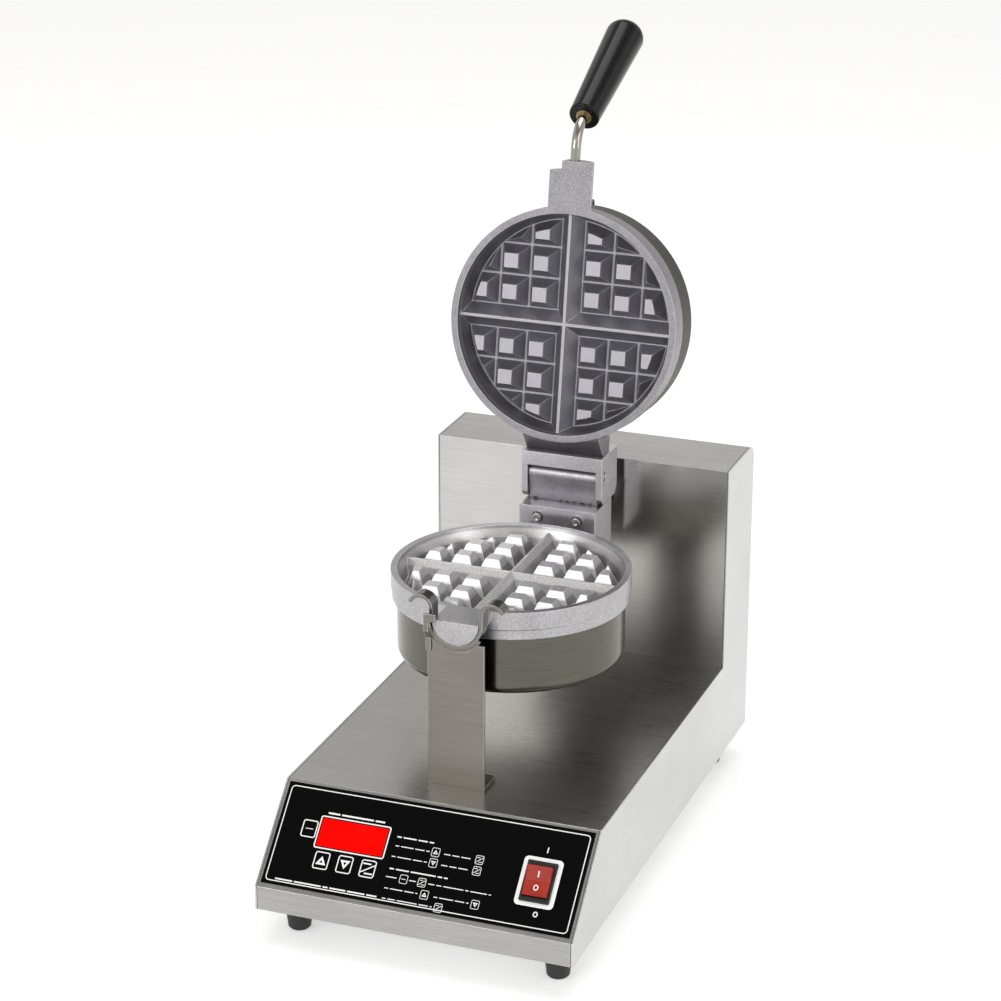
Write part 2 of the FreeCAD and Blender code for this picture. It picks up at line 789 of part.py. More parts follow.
def power_switch():
    """Snap-in rocker switch: housing with bezel, and a rocker on two stub axles."""
    half_width = "(rocker_width / 2 + rocker_gap)"
    half_length = "(rocker_half + 3 * rocker_gap)"
    case = box("switch_case", ("switch_width - 2 * switch_wall - 2 * fit_gap",
                               "switch_height - 2 * switch_wall - 2 * fit_gap",
                               "switch_depth + overlay_thick"),
               ("-switch_width / 2 + switch_wall + fit_gap", "-switch_height / 2 + switch_wall + fit_gap",
                "-switch_depth"))
    rim = box("switch_rim", ("switch_width", "switch_height", "bezel_rise"),
              ("-switch_width / 2", "-switch_height / 2", "overlay_thick"))
    well = box("switch_well", (f"2 * {half_width}", f"2 * {half_length}", "switch_depth"),
               (f"-{half_width}", f"-{half_length}", "rocker_pivot - rocker_root - 4 * rocker_gap"))
    axle_hole = rod("switch_axle_hole", "axle_radius + pin_gap", "rocker_width + 2 * axle_reach + 1",
                    ("-rocker_width / 2 - axle_reach - 0.5", "0", "rocker_pivot"), "right")
    spots = [(x, t) for x in ("-1", "1") for t in ("-1", "1")]
    terminals = [box(f"switch_tab_{number}", ("tab_thick", "tab_width", "tab_length"),
                     (f"{x} * switch_tab_x", f"{t} * switch_tab_t - tab_width / 2",
                      "-switch_depth - tab_length"))
                 for number, (x, t) in enumerate(spots, start=1)]
    housing = cut("switch_body", fuse("switch_moulding", case, rim, *terminals), well, axle_hole)
    panel_node(housing, "switch_body", "switch_x", "switch_t")
    profile = [
        ("-rocker_half", "rocker_top"),
        ("0", "rocker_waist"),
        ("rocker_half", "rocker_top"),
        ("rocker_half", "0"),
        ("rocker_half * 0.7", "-rocker_root"),
        ("-rocker_half * 0.7", "-rocker_root"),
        ("-rocker_half", "0"),
    ]
    paddle = prism("rocker_paddle", "YZ_Plane", profile, "rocker_width")
    axle = rod("rocker_axle", "axle_radius", "rocker_width + 2 * axle_reach",
               ("-rocker_width / 2 - axle_reach", "0", "0"), "right")
    rocker = fuse("power_rocker", paddle, axle)
    rocker.Label = "power_rocker"
    rocker.Placement = Placement(Vector(), Rotation(X_AXIS, 1))
    rocker.setExpression("Placement.Rotation.Angle", bound("slope_angle + rocker_tilt"))
    locate(rocker, sloped_place("switch_x", "switch_t", "rocker_pivot", "setback"))
    nodes.append(rocker)


# ---------------------------------------------------------------- inside the housing
PAN_TOP = "(foot_rise + sheet)"
TERMINAL_WAYS = 5


def electrics():
    """Control board on standoffs, heater relay, terminal block, gland and safety cut-out."""
    corners = [("pcb_inset", "pcb_inset"), ("pcb_width - pcb_inset", "pcb_inset"),
               ("pcb_inset", "pcb_length - pcb_inset"), ("pcb_width - pcb_inset", "pcb_length - pcb_inset")]
    board_z = f"({PAN_TOP} + standoff_rise)"
    posts = [rod(f"standoff_{number}", "standoff_radius", "standoff_rise",
                 (f"pcb_left + {x}", f"pcb_front + {y}", PAN_TOP))
             for number, (x, y) in enumerate(corners, start=1)]
    node(gather("board_standoffs", posts), "board_standoffs")
    board = box("pcb", ("pcb_width", "pcb_length", "board_thick"), ("pcb_left", "pcb_front", board_z))
    chips = [box(chip, (f"{chip}_width", f"{chip}_length", f"{chip}_rise"),
                 (f"pcb_left + {chip}_x", f"pcb_front + {chip}_y", f"{board_z} + board_thick"))
             for chip in ("transformer", "pcb_relay", "logic")]
    node(fuse("control_board", board, *chips), "control_board")
    case = box("relay_case", ("relay_width", "relay_length", "relay_rise"),
               ("relay_x", "relay_front", PAN_TOP))
    recess = box("relay_recess", ("relay_width - 12", "relay_length / 5", "relay_rise"),
                 ("relay_x + 6", "relay_front + relay_length * 0.75", f"{PAN_TOP} + relay_rise - 8"))
    node(cut("solid_state_relay", case, recess), "solid_state_relay")
    strip = box("terminal_case", ("terminal_width", "terminal_length", "terminal_rise"),
                ("terminal_x", "terminal_front", PAN_TOP))
    wells = [rod(f"terminal_well_{way + 1}", "terminal_well", "terminal_rise",
                 (f"terminal_x + terminal_width * {(way + 0.5) / TERMINAL_WAYS}",
                  "terminal_front + terminal_length / 2", f"{PAN_TOP} + terminal_rise - terminal_deep"))
             for way in range(TERMINAL_WAYS)]
    node(cut("terminal_block", strip, *wells), "terminal_block")
    throat = rod("gland_throat", "gland_radius - fit_gap", "gland_reach + sheet + 12",
                 ("gland_x", "depth - sheet - 12", "gland_z"), "back")
    collar = rod("gland_collar", "gland_flange", "gland_reach - 2", ("gland_x", "depth", "gland_z"), "back")
    nut = rod("gland_nut", "gland_flange", "5", ("gland_x", "depth - sheet - 5", "gland_z"), "back")
    bore = rod("gland_bore_tool", "gland_bore", "gland_reach + 40",
               ("gland_x", "depth - 30", "gland_z"), "back")
    node(cut("cord_gland", fuse("gland_body", throat, collar, nut), bore), "cord_gland")
    disc = rod("cutout_disc", "cutout_radius", "cutout_length",
               ("cutout_x", "tower_front + sheet", f"{TOWER_TOP} - cutout_drop"), "back")
    tabs = [box(f"cutout_tab_{number}", ("tab_thick", "tab_length", "tab_width"),
                (f"cutout_x + {side} * cutout_radius / 2 - tab_thick / 2",
                  "tower_front + sheet + cutout_length",
                 f"{TOWER_TOP} - cutout_drop - tab_width / 2"))
            for number, side in enumerate(("-1", "1"), start=1)]
    node(fuse("high_limit_thermostat", disc, *tabs), "high_limit_thermostat")


# ---------------------------------------------------------------- front support
def ring_sector(name, inner, outer, length, centre, start, sweep):
    """Part of a ring about Y, from the angle start (degrees above +X) through sweep."""
    full = doc.addObject("Part::Cylinder", name + "_outer")
    drive(full, Radius=outer, Height=length, Angle=sweep)
    full.Placement = Placement(Vector(), FACING["front"] * Rotation(Z_AXIS, start))
    locate(full, (centre[0], f"{centre[1]} + {length}", centre[2]))
    bore = rod(name + "_inner", inner, f"{length} + 2", (centre[0], f"{centre[1]} - 1", centre[2]), "back")
    return cut(name, full, bore)


def front_support():
    """Bent upright whose forked top carries the journal's saddle."""
    top = f"({AXIS_Z} - support_top)"
    upright = slab("support_upright", "support_half", "support_thick", f"{top} - {DECK_Z}",
                   "support_front", DECK_Z)
    foot = slab("support_base", "support_half", "support_foot", "support_thick", "support_front", DECK_Z)
    notch = rod("support_notch_tool", "support_notch", "support_foot",
                ("0", "support_front - 5", AXIS_Z), "back")
    holes = [rod(f"support_hole_{number}", "screw_radius + screw_gap", "4 * support_thick",
                 (f"{side} * support_screw_x", "support_screw_y", f"{DECK_Z} - support_thick"))
             for number, side in enumerate(("-1", "1"), start=1)]
    blank = cut("support_blank", fuse("support_fold", upright, foot), notch, *holes)
    back = sheet.get("support_front") + sheet.get("support_foot")
    high = sheet.get("support_half")
    corners = rounded("support_corners", blank, "support_corner",
                      lambda edge: runs_along(edge, Z_AXIS) and abs(middle(edge).y - back) < 1e-3
                      and abs(abs(middle(edge).x) - high) < 1e-3)
    node(gather("front_support", [corners]), "front_support")
    screws = [screw(f"support_screw_{number}", f"{side} * support_screw_x", "support_screw_y",
                    f"{DECK_Z} - sheet", "down", "sheet + support_thick")
              for number, side in enumerate(("-1", "1"), start=1)]
    node(gather("support_screws", screws), "support_screws")


def saddle_strip():
    """Sheet strip bent under the journal, rising past the axis and curled outwards at both ends."""
    outer = "(saddle_radius + saddle_thick)"
    front = "support_front"
    trough = ring_sector("saddle_trough", "saddle_radius", outer, "saddle_length",
                         ("0", front, AXIS_Z), 180, "180")
    weld = ring_sector("saddle_weld", f"{outer} - 0.2", "support_notch", "support_thick",
                       ("0", front, AXIS_Z),
                       270 - sheet.get("weld_sweep") / 2, "weld_sweep")
    members = [trough, weld]
    ear_starts = (("left", "-1", 0), ("right", "1", 180 - sheet.get("ear_sweep")))
    for name, side, start in ear_starts:
        leg = box(f"saddle_leg_{name}", ("saddle_thick", "saddle_length", "ear_rise"),
                  (f"{side} * (saddle_radius + saddle_thick / 2) - saddle_thick / 2", front, AXIS_Z))
        centre = (f"{side} * (saddle_radius + ear_radius)", front, f"{AXIS_Z} + ear_rise")
        ear = ring_sector(f"saddle_ear_{name}", "ear_radius - saddle_thick", "ear_radius", "saddle_length",
                          centre, start, "ear_sweep")
        members += [leg, ear]
    node(fuse("saddle_strip", *members), "saddle_strip")


def rotation_stop():
    """Jogged finger welded to the upright; its tab stops the turned grids half a turn on."""
    profile = [
        ("support_front", f"{AXIS_Z} - stop_foot"),
        ("support_front", f"{AXIS_Z} - stop_bend"),
        ("support_front - stop_out + stop_thick", f"{AXIS_Z} - stop_bend + stop_out"),
        ("support_front - stop_out + stop_thick", f"{AXIS_Z} + stop_high"),
        ("support_front - stop_out", f"{AXIS_Z} + stop_high"),
        ("support_front - stop_out", f"{AXIS_Z} - stop_bend + stop_out"),
        ("support_front - stop_thick", f"{AXIS_Z} - stop_bend"),
        ("support_front - stop_thick", f"{AXIS_Z} - stop_foot"),
    ]
    finger = prism("stop_finger", "YZ_Plane", profile, "stop_width")
    locate(finger, ("-stop_left + stop_width / 2", "0", "0"))
    tab = box("stop_tab", ("stop_left - stop_tip", "stop_thick", "stop_high - stop_low"),
              ("-stop_left", "support_front - stop_out", f"{AXIS_Z} + stop_low"))
    node(fuse("rotation_stop", finger, tab), "rotation_stop")


# ---------------------------------------------------------------- bearing, spindle, carriage block
def bearing():
    """Flanged housing bolted inside the tower's front, with a bronze bush."""
    wall = "(tower_front + sheet)"
    outer = "(spindle_radius + running_gap + bush_wall)"
    flange = slab("bearing_flange", "plate_half", "plate_thick", "2 * plate_half", wall,
                  f"{AXIS_Z} - plate_half")
    hub = rod("bearing_hub", "hub_radius", "hub_length", ("0", wall, AXIS_Z), "back")
    bore = rod("bearing_bore", outer, "hub_length + 2", ("0", f"{wall} - 1", AXIS_Z), "back")
    corners = [(f"{x} * plate_bolt", f"{AXIS_Z} + {z} * plate_bolt") for x in (-1, 1) for z in (-1, 1)]
    holes = [rod(f"bearing_hole_{number}", "screw_radius + screw_gap", "2 * plate_thick",
                 (x, f"{wall} - 1", z), "back")
             for number, (x, z) in enumerate(corners, start=1)]
    node(cut("bearing_housing", fuse("bearing_casting", flange, hub), bore, *holes), "bearing_housing")
    sleeve = rod("bush_sleeve", outer, "hub_length", ("0", wall, AXIS_Z), "back")
    running = rod("bush_bore", "spindle_radius + running_gap", "hub_length + 2",
                  ("0", f"{wall} - 1", AXIS_Z), "back")
    node(cut("spindle_bush", sleeve, running), "spindle_bush")
    screws = [screw(f"bearing_screw_{number}", x, f"{wall} + plate_thick", z, "back", "plate_thick")
              for number, (x, z) in enumerate(corners, start=1)]
    node(gather("bearing_screws", screws), "bearing_screws")


def spindle():
    shaft = rod("spindle_shaft", "spindle_radius", "tower_front + spindle_reach - block_back",
                ("0", "block_back", AXIS_Z), "back")
    flange = rod("spindle_flange_disc", "spindle_flange", "spindle_flange_thick",
                 ("0", "block_back", AXIS_Z), "back")
    holes = [rod(f"spindle_hole_{number}", "bolt_radius + screw_gap", "spindle_flange_thick + 2",
                 (f"{side} * bolt_x", "block_back - 1", f"{AXIS_Z} + bolt_lift"), "back")
             for number, side in enumerate(("-1", "1"), start=1)]
    node(cut("spindle", fuse("spindle_turning", shaft, flange), *holes), "spindle")
    ring = rod("nut_ring", "nut_radius", "nut_thick",
               ("0", "tower_front + sheet + hub_length + 2 * running_gap", AXIS_Z), "back")
    hole = rod("nut_hole", "spindle_radius + screw_gap", "nut_thick + 2",
               ("0", "tower_front + sheet + hub_length - 1", AXIS_Z), "back")
    node(cut("spindle_nut", ring, hole), "spindle_nut")


def carriage_block():
    """Machined block between spindle and grid, slotted for the grid's tongue."""
    solid = slab("block_solid", "block_half", "block_back - block_front", "block_above + block_below",
                 "block_front", f"{AXIS_Z} - block_below")
    slot = slab("block_slot", "(tongue_half + fit_gap)", "tongue_back - block_front + 1 + fit_gap",
                "rim_rise - tongue_top + 2 * fit_gap", "block_front - 1", f"{AXIS_Z} - rim_rise - fit_gap")
    tools = [slot]
    sides = list(enumerate(("-1", "1"), start=1))
    for number, side in sides:
        tools.append(rod(f"block_long_hole_{number}", "bolt_radius + screw_gap",
                         "block_back - block_front + 2",
                         (f"{side} * bolt_x", "block_front - 1", f"{AXIS_Z} + bolt_lift"), "back"))
        tools.append(rod(f"block_up_hole_{number}", "bolt_radius + screw_gap", "block_below",
                         (f"{side} * bolt_x", TONGUE_BOLT_Y, f"{AXIS_Z} - block_below - 1")))
    node(cut("carriage_block", solid, *tools), "carriage_block")
    long_screws = [cap_screw(f"carriage_screw_{number}", f"{side} * bolt_x", "block_front",
                             f"{AXIS_Z} + bolt_lift", "front", "carriage_head",
                             "block_back - block_front + spindle_flange_thick")
                   for number, side in sides]
    node(gather("carriage_screws", long_screws), "carriage_screws")
    up_screws = [cap_screw(f"lower_grid_bolt_{number}", f"{side} * bolt_x", TONGUE_BOLT_Y,
                           f"{AXIS_Z} - block_below", "down", "bolt_head",
                           "block_below - rim_rise + (rim_rise - tongue_top) * 0.8")
                 for number, side in sides]
    node(gather("lower_grid_bolts", up_screws), "lower_grid_bolts")


TONGUE_BOLT_Y = "((block_front + tongue_back) / 2)"


def cap_screw(name, x, y, z, facing, head_radius, grip):
    """Socket cap screw; its head faces outwards with a round socket."""
    opposite = {"front": "back", "down": "up", "up": "down", "back": "front"}[facing]
    shank = rod(name + "_shank", "bolt_radius", grip, (x, y, z), opposite)
    head = rod(name + "_head", head_radius, "bolt_head_rise", (x, y, z), facing)
    outwards = {"front": (x, f"{y} - bolt_head_rise - 1", z), "down": (x, y, f"{z} - bolt_head_rise - 1")}
    socket = rod(name + "_socket", "socket_radius", "socket_depth + 1", outwards[facing], opposite)
    return cut(name, fuse(name + "_blank", shank, head), socket)


# ---------------------------------------------------------------- hinge
def hinge_knuckle():
    """Eye block welded on the carriage block; its front leans as the closed yoke's bar does."""
    foot = "(pin_rise - block_above)"
    lean = "(yoke_turn - 90)"
    profile = [
        (f"-knuckle_eye * cos({lean})", f"-knuckle_eye * sin({lean})"),
        ("0", "0"),
        ("knuckle_back", "0"),
        ("knuckle_back", f"-{foot}"),
        (f"(sin({lean}) * {foot} - knuckle_eye) / cos({lean})", f"-{foot}"),
    ]
    eye = rod("knuckle_eye_round", "knuckle_eye", "2 * knuckle_half", ("-knuckle_half", "0", "0"), "right")
    stem = prism("knuckle_stem", "YZ_Plane", profile, "2 * knuckle_half")
    rear = slab("knuckle_rear", "knuckle_half", "knuckle_back", "knuckle_eye", "0", "0")
    bore = rod("knuckle_bore", "pin_radius + pin_gap", "2 * knuckle_half + 2",
               ("-knuckle_half - 1", "0", "0"), "right")
    block = fuse("knuckle_block", eye, stem, rear)
    node(cut("hinge_knuckle", block, bore), "hinge_knuckle", ("0", "pin_y", PIN_Z))
    pin = rod("pin_rod", "pin_radius", "2 * yoke_half", ("-yoke_half", "0", "0"), "right")
    node(gather("hinge_pin", [pin]), "hinge_pin", ("0", "pin_y", PIN_Z))


def hinge_yoke():
    """Fork over the knuckle, bolted to the upper grid's neck."""
    profile = [
        ("-yoke_front", "yoke_top"),
        ("yoke_back", "yoke_top"),
        ("yoke_back", "yoke_chamfer - yoke_drop"),
        ("yoke_back - yoke_chamfer", "-yoke_drop"),
        ("yoke_chamfer - yoke_front", "-yoke_drop"),
        ("-yoke_front", "yoke_chamfer - yoke_drop"),
    ]
    fork = prism("yoke_block", "YZ_Plane", profile, "2 * yoke_half")
    mouth = slab("yoke_mouth_tool", "yoke_mouth", "yoke_front + yoke_back + 2", "yoke_bar + yoke_drop + 1",
                 "-yoke_front - 1", "-yoke_drop - 1")
    bore = rod("yoke_bore", "pin_radius + pin_gap", "2 * yoke_half + 2",
               ("-yoke_half - 1", "0", "0"), "right")
    tools = [mouth, bore]
    bolts = []
    for number, side in enumerate(("-1", "1"), start=1):
        x = f"{side} * yoke_bolt_x"
        tools.append(rod(f"yoke_bolt_hole_{number}", "bolt_radius + screw_gap", "yoke_top - yoke_bar + 2",
                         (x, "yoke_bolt_back", "yoke_bar - 1")))
        tools.append(rod(f"yoke_bolt_recess_{number}", "bolt_head + fit_gap", "yoke_recess + 1",
                         (x, "yoke_bolt_back", "yoke_bar - 1")))
        shank = rod(f"yoke_bolt_shank_{number}", "bolt_radius", "yoke_bolt_reach - yoke_bar - yoke_recess",
                    (x, "yoke_bolt_back", "yoke_bar + yoke_recess"))
        head = rod(f"yoke_bolt_head_{number}", "bolt_head", "bolt_head_rise",
                   (x, "yoke_bolt_back", "yoke_bar + yoke_recess - bolt_head_rise"))
        bolts.append(fuse(f"yoke_bolt_{number}", shank, head))
    yoke_node(cut("hinge_yoke", fork, *tools), "hinge_yoke")
    yoke_node(gather("yoke_bolts", bolts), "yoke_bolts")


# ---------------------------------------------------------------- grids
CELLS = [(column, row) for column in range(3) for row in range(3) if column + row < 4]
QUADRANTS = [(1, 1), (1, -1), (-1, 1), (-1, -1)]


def post(name, x, y):
    """A truncated pyramid standing on the floor of the cavity."""
    base = "(cell_pitch - ridge) / 2"
    top = "post_top / 2"
    solid = doc.addObject("Part::Wedge", name)
    solid.Placement = Placement(Vector(), FACING["front"])
    drive(solid, Xmin=f"-{base}", Xmax=base, Zmin=f"-{base}", Zmax=base, Ymin="0",
          Ymax="floor_drop - post_drop", X2min=f"-{top}", X2max=top, Z2min=f"-{top}", Z2max=top)
    return locate(solid, (x, y, "-floor_drop"))


def waffle_grid(name, *arms):
    """A grid casting face up: rim, cavity, cross ribs, posts and the stud boss below."""
    profile = [
        ("0", "0"),
        ("rim_radius", "0"),
        ("rim_radius", "-rim_step_drop"),
        ("rim_radius - rim_step", "-rim_step_drop - rim_step"),
        ("rim_radius - rim_step", "-rim_rise"),
        ("stud_boss", "-rim_rise"),
        ("stud_boss", "-rim_rise - stud_boss_rise"),
        ("stud_radius + screw_gap", "-rim_rise - stud_boss_rise"),
        ("stud_radius + screw_gap", "-rim_rise - screw_grip / 10"),
        ("0", "-rim_rise - screw_grip / 10"),
    ]
    blank = turned(name + "_blank", profile)
    cavity = doc.addObject("Part::Cone", name + "_cavity")
    drive(cavity, Radius1="floor_radius", Radius2="cavity_radius", Height="floor_drop")
    locate(cavity, ("0", "0", "-floor_drop"))
    dish = cut(name + "_dish", fuse(name + "_casting", blank, *arms), cavity)
    pitch_centre = "(rib_base + cell_pitch * {0})"
    posts = []
    for across, along in QUADRANTS:
        for column, row in CELLS:
            x = f"{across} * {pitch_centre.format(column + 0.5)}"
            y = f"{along} * {pitch_centre.format(row + 0.5)}"
            posts.append(post(f"{name}_post_{len(posts) + 1}", x, y))
    limit = doc.addObject("Part::Cone", name + "_post_limit")
    edge = "(floor_radius - ridge / 2)"
    drive(limit, Radius1=edge, Radius2=f"{edge} - (cell_pitch - ridge - post_top) / 2",
          Height="floor_drop - post_drop")
    locate(limit, ("0", "0", "-floor_drop"))
    field = common(name + "_posts", fuse(name + "_all_posts", *posts), limit)
    rib_profile = [
        ("-rib_base", "-floor_drop"),
        ("rib_base", "-floor_drop"),
        ("rib_top", "-rib_drop"),
        ("-rib_top", "-rib_drop"),
    ]
    rib_across = prism(name + "_rib_across", "YZ_Plane", rib_profile, "2 * cavity_radius")
    rib_along = prism(name + "_rib_along", "XZ_Plane", rib_profile, "2 * cavity_radius")
    cross = common(name + "_cross", fuse(name + "_ribs", rib_across, rib_along), cavity_copy(name))
    return fuse(name + "_joined", dish, field, cross)


def cavity_copy(name):
    limit = doc.addObject("Part::Cone", name + "_cross_limit")
    drive(limit, Radius1="floor_radius", Radius2="cavity_radius", Height="floor_drop")
    return locate(limit, ("0", "0", "-floor_drop"))


def half_round(name, radius, reach):
    """A lug under the rim plane, pointing to the front."""
    full = rod(name + "_round", radius, reach, ("0", f"-{reach}", "0"), "back")
    above = slab(name + "_above", f"({radius} + 1)", f"{reach} + 2", f"{radius} + 1", f"-{reach} - 1", "0")
    return cut(name, full, above)


def lower_grid():
    lug = half_round("lower_lug", "lower_lug_radius", "lower_lug_reach")
    tongue = slab("lower_tongue", "tongue_half", "tongue_back - grid_y - floor_radius + 2",
                  "rim_rise - tongue_top", "floor_radius - 2", "-rim_rise")
    casting = waffle_grid("lower_grid", lug, tongue)
    holes = [rod(f"tongue_hole_{number}", "bolt_radius + screw_gap", "(rim_rise - tongue_top) * 0.85",
                 (f"{side} * bolt_x", f"{TONGUE_BOLT_Y} - grid_y", "-rim_rise - 0.1"))
             for number, side in enumerate(("-1", "1"), start=1)]
    grid_node(cut("lower_grid", casting, *holes), "lower_grid")


def yoke_in_grid(back, up):
    """A point of the yoke's frame in the upper grid's face-up frame."""
    y = f"(pin_y - grid_y + ({back}) * cos(yoke_turn) - ({up}) * sin(yoke_turn))"
    z = f"(grid_gap - pin_rise - ({back}) * sin(yoke_turn) - ({up}) * cos(yoke_turn))"
    return y, z


def upper_grid():
    """The lid's grid, face up, with the stepped lug, rod bore and the neck to the yoke."""
    lug = cut("upper_lug", half_round("upper_lug_full", "upper_lug_radius", "upper_lug_reach"),
              box("upper_lug_cut", ("upper_lug_radius", "upper_lug_reach - upper_lug_short + 1",
                                    "2 * upper_lug_radius"),
                  ("upper_lug_step", "-upper_lug_reach - 1", "-1.5 * upper_lug_radius")))
    low_corner = yoke_in_grid("neck_step - yoke_front", "yoke_top")
    high_corner = yoke_in_grid("neck_high", "yoke_top")
    neck_profile = [
        ("floor_radius - 6", "-neck_rise / 2"),
        ("rim_radius - rim_step", "-neck_rise"),
        low_corner,
        high_corner,
        ("upper_shell_radius + fit_gap", high_corner[1]),
        ("upper_shell_radius + fit_gap", "-rim_rise"),
        ("floor_radius - 6", "-rim_rise"),
    ]
    neck = prism("neck_profile", "YZ_Plane", neck_profile, "2 * neck_half")
    casting = waffle_grid("upper_grid", lug, neck)
    rod_bore = rod("rod_bore", "rod_radius + screw_gap", "rod_seat + 1",
                   ("0", "-upper_lug_reach - 1", "-rod_back"), "back")
    screw_bore = rod("set_screw_bore", "set_screw_radius + screw_gap", "2 * upper_lug_radius",
                     ("-2 * upper_lug_radius", "-set_screw_at", "-rod_back"), "right")
    tools = [rod_bore, screw_bore]
    for number, side in enumerate(("-1", "1"), start=1):
        tools.append(neck_bolt_hole(number, side))
    lid_node(cut("upper_grid", casting, *tools), "upper_grid")


def neck_bolt_hole(number, side):
    """A tapped hole in the neck, square to the yoke's top face."""
    start_y, start_z = yoke_in_grid("yoke_bolt_back", "yoke_top - 1")
    hole = doc.addObject("Part::Cylinder", f"neck_hole_{number}")
    drive(hole, Radius="bolt_radius + screw_gap", Height="yoke_bolt_reach - yoke_top + 1.5")
    place = f"vector({side} * yoke_bolt_x; {start_y}; {start_z})"
    hole.setExpression("Placement", bound(f"placement({place}; rotationy(180) * rotationx(yoke_turn))"))
    return hole


# ---------------------------------------------------------------- shells, heaters, insulation
def shell(half, place_node):
    """A spun cup under the grid, held by a screw into the grid's stud boss."""
    words = ("shell", "shell_depth", "shell_radius", "shell_bend")
    name, depth, radius, bend = (f"{half}_{word}" for word in words)
    inner = f"({radius} - shell_wall)"
    bore = "(stud_radius + screw_gap)"
    profile = [
        (bore, f"-{depth}"),
        (radius, f"-{depth}"),
        (radius, "-rim_rise"),
        (inner, "-rim_rise"),
        (inner, f"shell_wall - {depth}"),
        (bore, f"shell_wall - {depth}"),
    ]
    cup = turned(name, profile)
    low = -sheet.get(depth)
    wall = sheet.get("shell_wall")
    outer = sheet.get(radius)
    dress(cup, "Fillet", bend,
          lambda edge: is_round(edge) and abs(edge.Curve.Radius - outer) < 1e-3
                          and abs(middle(edge).z - low) < 1e-3)
    dress(cup, "Fillet", f"{bend} - shell_wall",
          lambda edge: is_round(edge) and abs(edge.Curve.Radius - outer + wall) < 1e-3
          and abs(middle(edge).z - low - wall) < 1e-3)
    place_node(cup, name)
    head = rod(name + "_screw_head", "bolt_head + 2", "bolt_head_rise", ("0", "0", f"-{depth}"), "down")
    shank = rod(name + "_screw_shank", "stud_radius", f"{depth} - rim_rise - 2", ("0", "0", f"-{depth}"))
    place_node(fuse(name + "_screw", head, shank), name + "_screw")


def heater(name, place_node):
    """A sheathed ring element against the grid's underside, with two cold ends."""
    ring = doc.addObject("Part::Torus", name + "_ring")
    drive(ring, Radius1="heater_ring", Radius2="heater_tube")
    locate(ring, ("0", "0", "-rim_rise - heater_tube - fit_gap"))
    legs = [rod(f"{name}_leg_{number}", "heater_tube * 0.8", "heater_leg",
                (f"{side} * heater_legs_apart / 2", "sqrt(heater_ring ^ 2 - heater_legs_apart ^ 2 / 4)",
                 "-rim_rise - heater_tube - fit_gap"), "down")
            for number, side in enumerate(("-1", "1"), start=1)]
    place_node(fuse(name, ring, *legs), name)


def insulation(half, place_node):
    """Mineral-wool disc on the shell's floor."""
    name = half + "_insulation"
    thick = half + "_wool"
    low = f"(shell_wall + wool_gap - {half}_shell_depth)"
    disc = rod(name + "_disc", f"wool_radius - {half}_shell_bend", thick, ("0", "0", low))
    hole = rod(name + "_hole", "wool_bore", f"{thick} + 2", ("0", "0", f"{low} - 1"))
    place_node(cut(name, disc, hole), name)


def lower_sensor():
    probe = rod("sensor_probe", "sensor_radius", "sensor_length",
                ("sensor_x", "-sensor_length / 2", "-rim_rise - sensor_radius - fit_gap"), "back")
    grid_node(gather("lower_sensor", [probe]), "lower_sensor")


# ---------------------------------------------------------------- handle
BEND_Y = "(-upper_lug_reach - rod_lead)"
BEND_Z = "(-rod_back - rod_bend)"
NECK_Y = f"({BEND_Y} - rod_bend * sin(rod_angle))"
NECK_Z = f"({BEND_Z} + rod_bend * cos(rod_angle))"


def along_grip(distance):
    """The place at a distance along the grip's axis from the end of the bend."""
    return ("0", f"{NECK_Y} - ({distance}) * cos(rod_angle)", f"{NECK_Z} - ({distance}) * sin(rod_angle)")


def aim_grip(thing, distance):
    """Points the thing's own Z along the grip's axis."""
    thing.Placement = Placement(Vector(), Rotation(X_AXIS, 1))
    thing.setExpression("Placement.Rotation.Angle", bound("90 + rod_angle"))
    return locate(thing, along_grip(distance))


